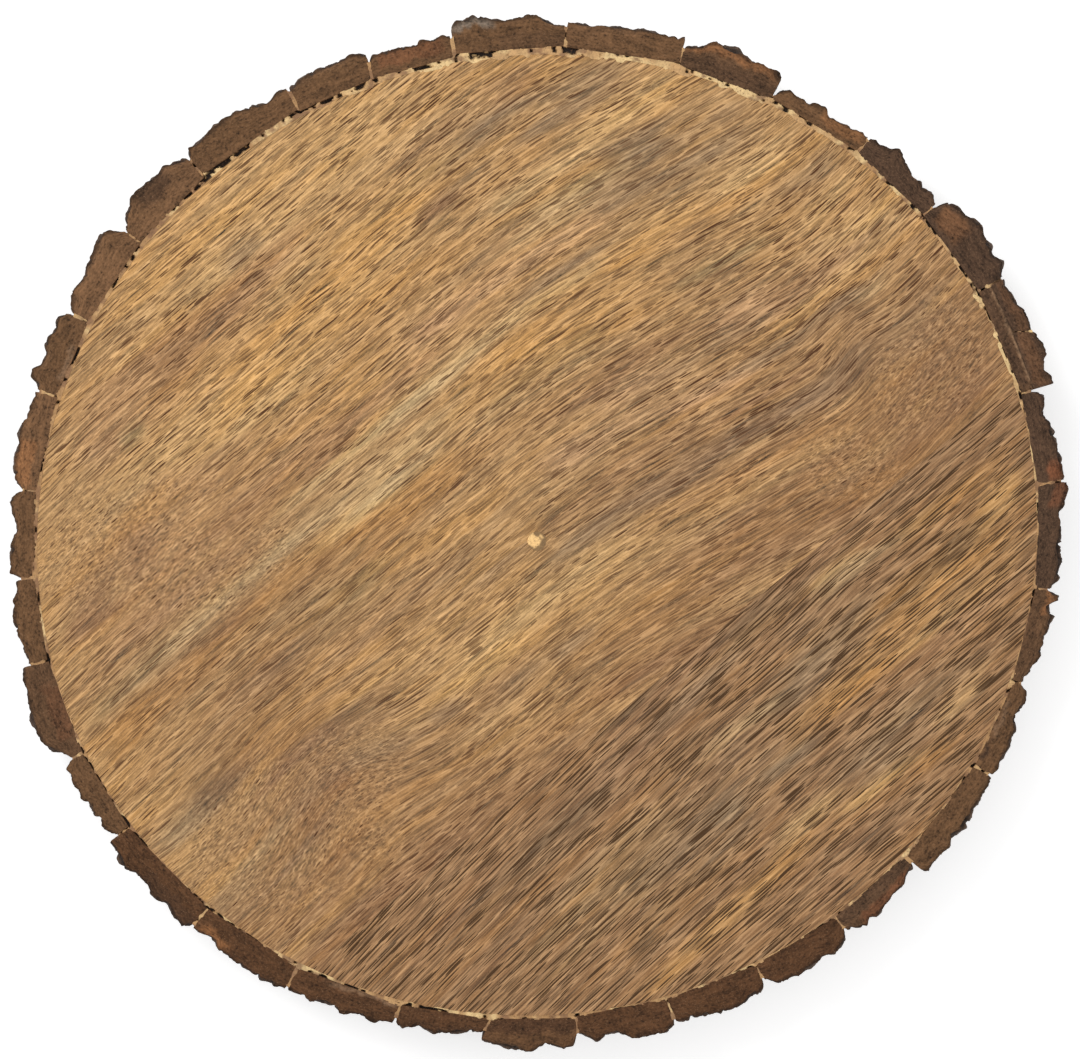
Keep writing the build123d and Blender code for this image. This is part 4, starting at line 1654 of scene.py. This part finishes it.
    def tones(self, number: int, out: Array, along: Array, knob: Array, outside: Array, push: Array) -> Array:
        """Works out the tone of each point: a sawn face with its patches and painted shade along its outer
        rim, or the crust, with painted shade where it lies low.

        Args:
            number: The piece's number.
            out, along: The shares of the way out and along the piece.
            knob: The knobbliness of the crust.
            outside: Whether the point lies on the crust.
            push: How far the crust stands out.

        Returns:
            The colours.
        """
        sawn = next(tone for tone, numbers in SAWN_TONES if number in numbers)
        colour = np.broadcast_to(sawn.light, (len(out), 3)).copy()
        wobble_along, wobble_out = self.patch_wobble
        track, reach = along + wobble_along * knob, out + wobble_out * knob
        for patch in PATCHES:
            if patch.piece == number:
                colour = toned(colour, patch.tone, patch.share(track, reach))
        # Painted shade: the sawn face darkens to near black along its outer rim.
        rim = self.rim_shade_share * fade(out + self.rim_shade_wobble * knob, *self.rim_shade_edges)
        colour = toned(colour, BarkTone.SHADE, rim)
        # Painted shade: the crust is darker where it lies low, in clefts, cracks and between lumps, and
        # lighter where it stands out.
        crust = np.broadcast_to(BarkTone.DARK.light, colour.shape)
        crust = toned(crust, BarkTone.CRUST, fade(push, -self.crust_shade_relief, self.crust_shade_relief))
        return np.where(outside[:, None], crust, colour)


@dataclass
class Filling:
    """The pale filler between the disc and the bark, in the slots, and in the hole at the centre.

    Widths and pitches are lengths, edges are where something starts and ends.
    """

    oval: Oval = field(default_factory=Oval)
    overlap: float = 0.15 * MM
    under_wood: float = 0.05 * MM
    blush_pitch: float = 9 * MM
    blush_fresh: float = 0.8
    blush_edges: tuple[float, float] = (-0.35, 0.45)
    stale_pitch: float = 6 * MM
    stale_vary: float = 0.2
    stale_edges: tuple[float, float] = (0.6, 0.25)
    dirt_pitch: float = 2.6 * MM
    dirt_fresh: float = 0.7
    dirt_edges: tuple[float, float] = (-0.05, 0.5)
    dirt_share: float = 0.8
    ring_steps: tuple[int, int, int] = (9, 2401, 5)
    spill: float = 1.05 * MM
    spill_edges: tuple[float, float] = (0.3, 1.0)
    ragged_edges: tuple[float, float] = (-0.1, 0.6)
    ragged_pitches: tuple[float, float] = (2.6 * MM, 11 * MM)
    ragged_shares: tuple[float, float] = (0.8, 0.5)
    pitted_pitches: tuple[float, float] = (1.8 * MM, 9 * MM)
    pitted_shares: tuple[float, float] = (0.8, 0.7)
    pitted_out: float = 0.4
    pitted_fresh: float = 0.15
    pit_depth: float = 1.4 * MM
    pit_edges: tuple[float, float] = (0.35, 0.6)
    sink: float = 0.25 * MM
    sink_shares: tuple[float, float] = (0.6, 0.4)
    lift: float = 0.04 * MM
    seat: float = 0.35 * MM
    underside_share: float = 0.3
    fresh_shares: tuple[float, float] = (0.95, 0.3)
    slot_steps: tuple[int, int, int] = (21, 5, 9)
    slot_apart: float = math.radians(1.6)
    slot_fresh: float = 0.38
    slot_sink: float = 0.30 * MM
    slot_sink_shares: tuple[float, float] = (0.8, 0.5)
    slot_reach: float = 3.2 * MM
    slot_longest: float = 9.6 * MM
    slot_shortest: float = 0.1 * MM
    slot_inset: float = 0.7 * MM
    slot_fall: float = 1.6 * MM
    slot_pitch: float = 3 * MM
    slot_step: float = 20 * MM
    slot_pit_depth: float = 2.8 * MM
    slot_pit_slope: float = 0.4
    slot_pit_middle: float = 0.4
    slot_pit_edges: tuple[float, float] = (0.55, 0.85)
    slot_top_edges: tuple[float, float] = (0.75, 1.0)
    plug_steps: tuple[int, int, int] = (33, 33, 9)
    plug_centre: tuple[float, float] = (-0.18, 0.05)
    plug_pitch: float = 2.2 * MM
    plug_sink: float = 0.06 * MM
    plug_unevenness: float = 0.05 * MM
    plug_fall: float = 0.14 * MM
    plug_edges: tuple[float, float] = (0.62, 0.95)
    plug_wobble: float = 0.3
    plug_ring: float = 0.85
    plug_ring_edges: tuple[float, float] = (0.68, 0.92)
    plug_ring_wobble: float = 0.35
    noise: Noise = field(default_factory=lambda: Noise(31))

    def build(self, material: bpy.types.Material) -> None:
        """Makes the three pieces of filler.

        Args:
            material: The finish of the filler.
        """
        for piece in (self.rim(), self.slots(), self.plug()):
            piece.place(material)

    def tones(self, points: Array, pit: Array, fresh: Array) -> Array:
        """Works out the tone: cream where fresh, else pink or tan, brown in patches, and painted shade in the
        pits.

        Args:
            points: The points of the filler.
            pit: How deep each lies in a pit, from 0 to 1.
            fresh: How fresh and clean the filler is there.

        Returns:
            The colours.
        """
        rough = self.noise.rough
        blush = fade(rough(points, self.blush_pitch) - self.blush_fresh * (fresh - 0.5), *self.blush_edges)
        stale = fade(fresh + self.stale_vary * rough(points + 1, self.stale_pitch), *self.stale_edges)
        dirt = fade(rough(points + 3, self.dirt_pitch) - self.dirt_fresh * (fresh - 0.5), *self.dirt_edges)
        colour = np.broadcast_to(FillerTone.CREAM.light, (len(points), 3))
        # The last tone, near black by how deep a place lies in a pit, is painted shade.
        wanted = (FillerTone.PINK, FillerTone.TAN, FillerTone.BROWN, FillerTone.PIT_SHADE)
        for tone, share in zip(wanted, (blush, stale, self.dirt_share * dirt, pit)):
            colour = toned(colour, tone, share)
        return colour

    def uneven(self, points: Array, pitches: tuple[float, float], shares: tuple[float, float]) -> Array:
        """Fine rough noise and wide smooth noise, added by their shares."""
        wide = self.noise.smooth(points + 1, pitches[1])
        return shares[0] * self.noise.rough(points, pitches[0]) + shares[1] * wide

    def skin(self, steps: tuple[int, int, int], ring: bool = False) -> Skin:
        """The outside of a block with some points along each direction, one fewer round a ring."""
        first, second, third = (np.linspace(0, 1, count) for count in steps)
        return block_skin(first, second[:-1] if ring else second, third, ring)

    def rim(self) -> Piece:
        """Makes the ring between the disc's oval edge and the flat backs of the bark.

        Its outer edge is the many-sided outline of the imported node: a ray from the centre crosses the
        side between two corners. Its inner edge spills over the wood where the joint is open, and it is
        pitted most beside the bark.

        Returns:
            The ring.
        """
        name = "rim_filler"
        low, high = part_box(name)
        corners, angle = by_angle(node_corners(name, high.z))
        outside = np.hypot(*corners.T) > self.oval.radius(angle) + self.under_wood
        corners, angle = corners[outside], angle[outside]
        skin = self.skin(self.ring_steps, ring=True)
        out, turn, up = skin.shares.T
        turn = turn * FULL_TURN - math.pi
        after = np.searchsorted(angle, turn) % len(angle)
        start, side = corners[after - 1], corners[after] - corners[after - 1]
        way = np.stack([np.cos(turn), np.sin(turn)], -1)
        reach = start[:, 0] * side[:, 1] - start[:, 1] * side[:, 0]
        reach = reach / (way[:, 0] * side[:, 1] - way[:, 1] * side[:, 0])
        edge = np.column_stack([self.oval.rim(turn), np.zeros(len(turn))])
        ragged = self.uneven(edge, self.ragged_pitches, self.ragged_shares)
        fresh = openness(turn)
        spill = self.spill * fade(fresh, *self.spill_edges) * fade(ragged, *self.ragged_edges)
        inner = self.oval.radius(turn) - self.under_wood - np.where(up > 0.5, spill, 0)
        radius = inner + out * (reach + self.overlap - inner)
        points = np.column_stack([way * radius[:, None], low.z + up * (high.z - low.z)])
        flat = laid_flat(points)
        pitted = self.uneven(flat, self.pitted_pitches, self.pitted_shares)
        seated = fade(radius - self.oval.radius(turn), 0.0, self.seat)
        pit = pitted + self.pitted_out * (out - 0.5) + self.pitted_fresh * fresh
        pit = fade(pit, *self.pit_edges) * seated
        least, more = self.sink_shares
        sink = self.sink * seated * (least + more * pitted) + self.pit_depth * pit
        rise = self.lift * (1 - seated) - sink
        points[:, 2] += np.where(up == 1, rise, np.where(up == 0, sink * self.underside_share, 0))
        tint = self.tones(flat, pit, self.fresh_shares[0] * fresh + self.fresh_shares[1] * ragged)
        return Piece(name, points, skin.faces, "filler", {"tint": tint})

    def slots(self) -> Piece:
        """Makes the filler in the slots between pieces of bark, each a narrow block, all in one piece.

        Returns:
            The piece.
        """
        name = "seam_filler"
        low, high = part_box(name)
        corners, angle = by_angle(node_corners(name, high.z))
        groups = np.split(corners, np.flatnonzero(np.diff(angle) > self.slot_apart) + 1)
        skin = self.skin(self.slot_steps)
        outer = [number for number in range(1, BarkRim.count + 1) if number != BarkRim.plain_piece]
        ends = np.concatenate([bark_ends(f"bark_{number:02d}") for number in outer])
        out, across, up = skin.shares.T
        height = low.z + up * (high.z - low.z)
        made = []
        for number, group in enumerate(groups):
            plan, packed = self.slot_plan(group, out, across, ends)
            points = np.column_stack([plan, height])
            pitted = self.noise.rough(laid_flat(points) + number * self.slot_step, self.slot_pitch)
            pit = fade(pitted + self.slot_pit_slope * (self.slot_pit_middle - out), *self.slot_pit_edges)
            least, more = self.slot_sink_shares
            sink = self.slot_sink * (least + more * pitted)
            sink = sink + self.slot_pit_depth * pit * fade(out, 1.0, packed)
            sink = sink + self.slot_fall * fade(out, packed, 1.0)
            points[:, 2] -= sink * fade(up, *self.slot_top_edges)
            made.append((points, pit, skin.faces + len(points) * number))
        points, pit, faces = (np.concatenate(rows) for rows in zip(*made))
        tint = self.tones(points, pit, np.full(len(points), self.slot_fresh))
        return Piece(name, points, faces, "filler", {"tint": tint})

    def slot_plan(self, group: Array, out: Array, across: Array, ends: Array) -> tuple[Array, float]:
        """Fills one slot in plan, between its two inner and its two outer corners.

        It runs on past its outer corners until just inside the nearest outer corner of the bark.

        Args:
            group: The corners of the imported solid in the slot.
            out, across: The shares of the way out and across the slot.
            ends: The outer corners of all the pieces of bark.

        Returns:
            The places, one row of two for each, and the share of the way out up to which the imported
            solid reaches.
        """
        group = group[np.argsort(np.hypot(*group.T))]
        turn = np.arctan2(group[:, 1], group[:, 0])
        inner = group[:-2][np.argsort(turn[:-2])][[0, -1]]
        outer = group[-2:][np.argsort(turn[-2:])]
        way = outer.mean(0) - inner.mean(0)
        way = way / np.hypot(*way)
        side = np.array([-way[1], way[0]])
        wider = np.array([[-self.overlap], [self.overlap]]) * side
        inner = inner + wider - way * self.overlap
        outer = outer + wider
        gap = ends - outer.mean(0)
        beside = (np.abs(gap @ side) < self.slot_reach) & (np.abs(gap @ way) < self.slot_longest)
        nearest = (gap @ way)[beside].min(initial=self.slot_longest)
        further = np.clip(nearest - self.slot_inset, self.slot_shortest, self.slot_longest)
        reach = np.hypot(*(outer.mean(0) - inner.mean(0)))
        outer = outer + way * further
        near = inner[0] + across[:, None] * (inner[1] - inner[0])
        far = outer[0] + across[:, None] * (outer[1] - outer[0])
        return near + out[:, None] * (far - near), float(reach / (reach + further))

    def plug(self) -> Piece:
        """Makes the filling of the hole, a shallow uneven round block.

        Its plan is a square blown up to a disc: each part of a place is multiplied by the root of one
        less half the square of the other.

        Returns:
            The plug.
        """
        name = "centre_plug"
        low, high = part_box(name)
        centre = np.array([(low.x + high.x) / 2, (low.y + high.y) / 2])
        skin = self.skin(self.plug_steps)
        first, second, up = skin.shares.T
        a, b = 2 * first - 1, 2 * second - 1
        disc = np.stack([a * np.sqrt(1 - b * b / 2), b * np.sqrt(1 - a * a / 2)], -1)
        points = np.column_stack([centre + disc * (high.x - low.x) / 2, low.z + up * (high.z - low.z)])
        rough = self.noise.rough(laid_flat(points), self.plug_pitch)
        reach = np.hypot(*(disc - np.array(self.plug_centre)).T)
        sink = self.plug_sink + self.plug_unevenness * (1 + rough)
        sink = sink + self.plug_fall * fade(reach + self.plug_wobble * rough, *self.plug_edges)
        points[:, 2] -= np.where(up == 1, sink, 0)
        # Towards the plug's sunken edge it turns darker, in a ring.
        worn = self.plug_ring * fade(reach + self.plug_ring_wobble * rough, *self.plug_ring_edges)
        tint = toned(np.broadcast_to(FillerTone.BRIGHT.light, points.shape), Wood.DARK, worn)
        return Piece(name, points, skin.faces, "filler", {"tint": tint})


@dataclass(frozen=True)
class Lamp:
    """A square lamp that points at the block: its place and side in metres, and its power in watts."""

    name: str
    place: tuple[float, float, float]
    side: float
    power: float

    def hang(self) -> None:
        """Puts the lamp into the scene, turned towards the middle of the block."""
        data = bpy.data.lights.new(self.name, "AREA")
        data.size = self.side
        data.energy = self.power
        made = bpy.data.objects.new(self.name, data)
        made.location = self.place
        made.rotation_mode = "QUATERNION"
        made.rotation_quaternion = (-Vector(self.place)).to_track_quat("-Z", "Y")
        bpy.context.scene.collection.objects.link(made)


@dataclass
class Studio:
    """The pale floor, the soft light and the camera straight above."""

    pixel: float = 0.312 * MM
    image: tuple[int, int] = (1080, 1059)
    disc_centre: tuple[int, int] = (537, 535)
    lens: float = 100.0
    sensor: float = 36.0
    floor_radius: float = 4.0
    floor_corners: int = 96
    floor_colour: Colour = (0.93, 0.93, 0.93)
    floor_lift: float = 0.42
    floor_roughness: float = 0.9
    floor_gloss: float = 0.1
    white: Colour = (1.0, 1.0, 1.0)
    sky: float = 0.62
    lamps: tuple[Lamp, ...] = (
        Lamp("key", (-0.9, 0.9, 1.3), 0.9, 12.0), Lamp("fill", (0.9, -0.6, 1.4), 1.2, 4.0),
    )

    def build(self, top: float) -> None:
        """Makes the floor, the world's light, the lamps and the camera.

        Args:
            top: The height of the block's upper face, at which a pixel has its named size.
        """
        self.floor()
        self.world()
        for lamp in self.lamps:
            lamp.hang()
        self.camera(top)

    def seen(self, pen: Pen, *rays: str) -> Wire:
        """Works out where a surface is seen by some kinds of ray.

        Args:
            pen: The pen of its material, or of the world.
            *rays: The kinds, as the outputs of Light Path are called.

        Returns:
            1 for these kinds of ray and 0 for others.
        """
        path = pen.node("ShaderNodeLightPath", {}, {}, rays[0])
        seen = path
        for ray in rays[1:]:
            seen = seen.maths("MAXIMUM", seen, path.output(ray))
        return seen

    def floor(self) -> None:
        """A flat disc under the block, marked as no part of it. It shows a little lighter than it is."""
        turn = np.linspace(0, FULL_TURN, self.floor_corners + 1)[:-1]
        ring = np.column_stack([np.cos(turn), np.sin(turn), np.zeros(len(turn))]) * self.floor_radius
        mesh = bpy.data.meshes.new("floor")
        mesh.from_pydata(ring.tolist(), [], [list(range(len(ring)))])
        pen = Pen.material("floor")
        seen = self.seen(pen, "Is Camera Ray", "Is Glossy Ray", "Is Transmission Ray")
        mesh.materials.append(pen.finish(
            base_color=self.floor_colour, roughness=self.floor_roughness, specular_ior_level=self.floor_gloss,
            emission_color=self.white, emission_strength=seen * self.floor_lift,
        ))
        made = bpy.data.objects.new("floor", mesh)
        bpy.context.scene.collection.objects.link(made)
        made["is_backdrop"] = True

    def world(self) -> None:
        """An even sky, white where the camera sees it and through glass."""
        pen = Pen(bpy.data.worlds.new("studio"), "Background")
        seen = self.seen(pen, "Is Camera Ray", "Is Transmission Ray")
        bpy.context.scene.world = pen.finish(color=self.white, strength=seen * (1.0 - self.sky) + self.sky)

    def camera(self, top: float) -> None:
        """Makes a camera with a long lens straight above, so far up that a pixel has its named size.

        Args:
            top: The height at which a pixel has that size.
        """
        data = bpy.data.cameras.new("camera")
        data.lens = self.lens
        data.sensor_width = self.sensor
        made = bpy.data.objects.new("camera", data)
        aim_x = (self.image[0] / 2 - self.disc_centre[0]) * self.pixel
        aim_y = (self.disc_centre[1] - self.image[1] / 2) * self.pixel
        distance = self.image[0] * self.pixel * self.lens / self.sensor
        made.location = (aim_x, aim_y, top + distance)
        bpy.context.scene.collection.objects.link(made)
        bpy.context.scene.camera = made


def main() -> None:
    """Builds the block piece by piece, then the studio round it."""
    logging.basicConfig(level=logging.INFO, format="%(message)s")
    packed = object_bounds()
    Boards().build(OiledWood().material(), SIDE_WOOD.material())
    BarkRim().build(RoughBark().material())
    Filling().build(PaleFiller().material())
    Studio().build(packed[1].z)
    scene = bpy.context.scene
    scene.view_settings.view_transform = "Standard"
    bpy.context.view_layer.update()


if __name__ == "__main__":
    main()
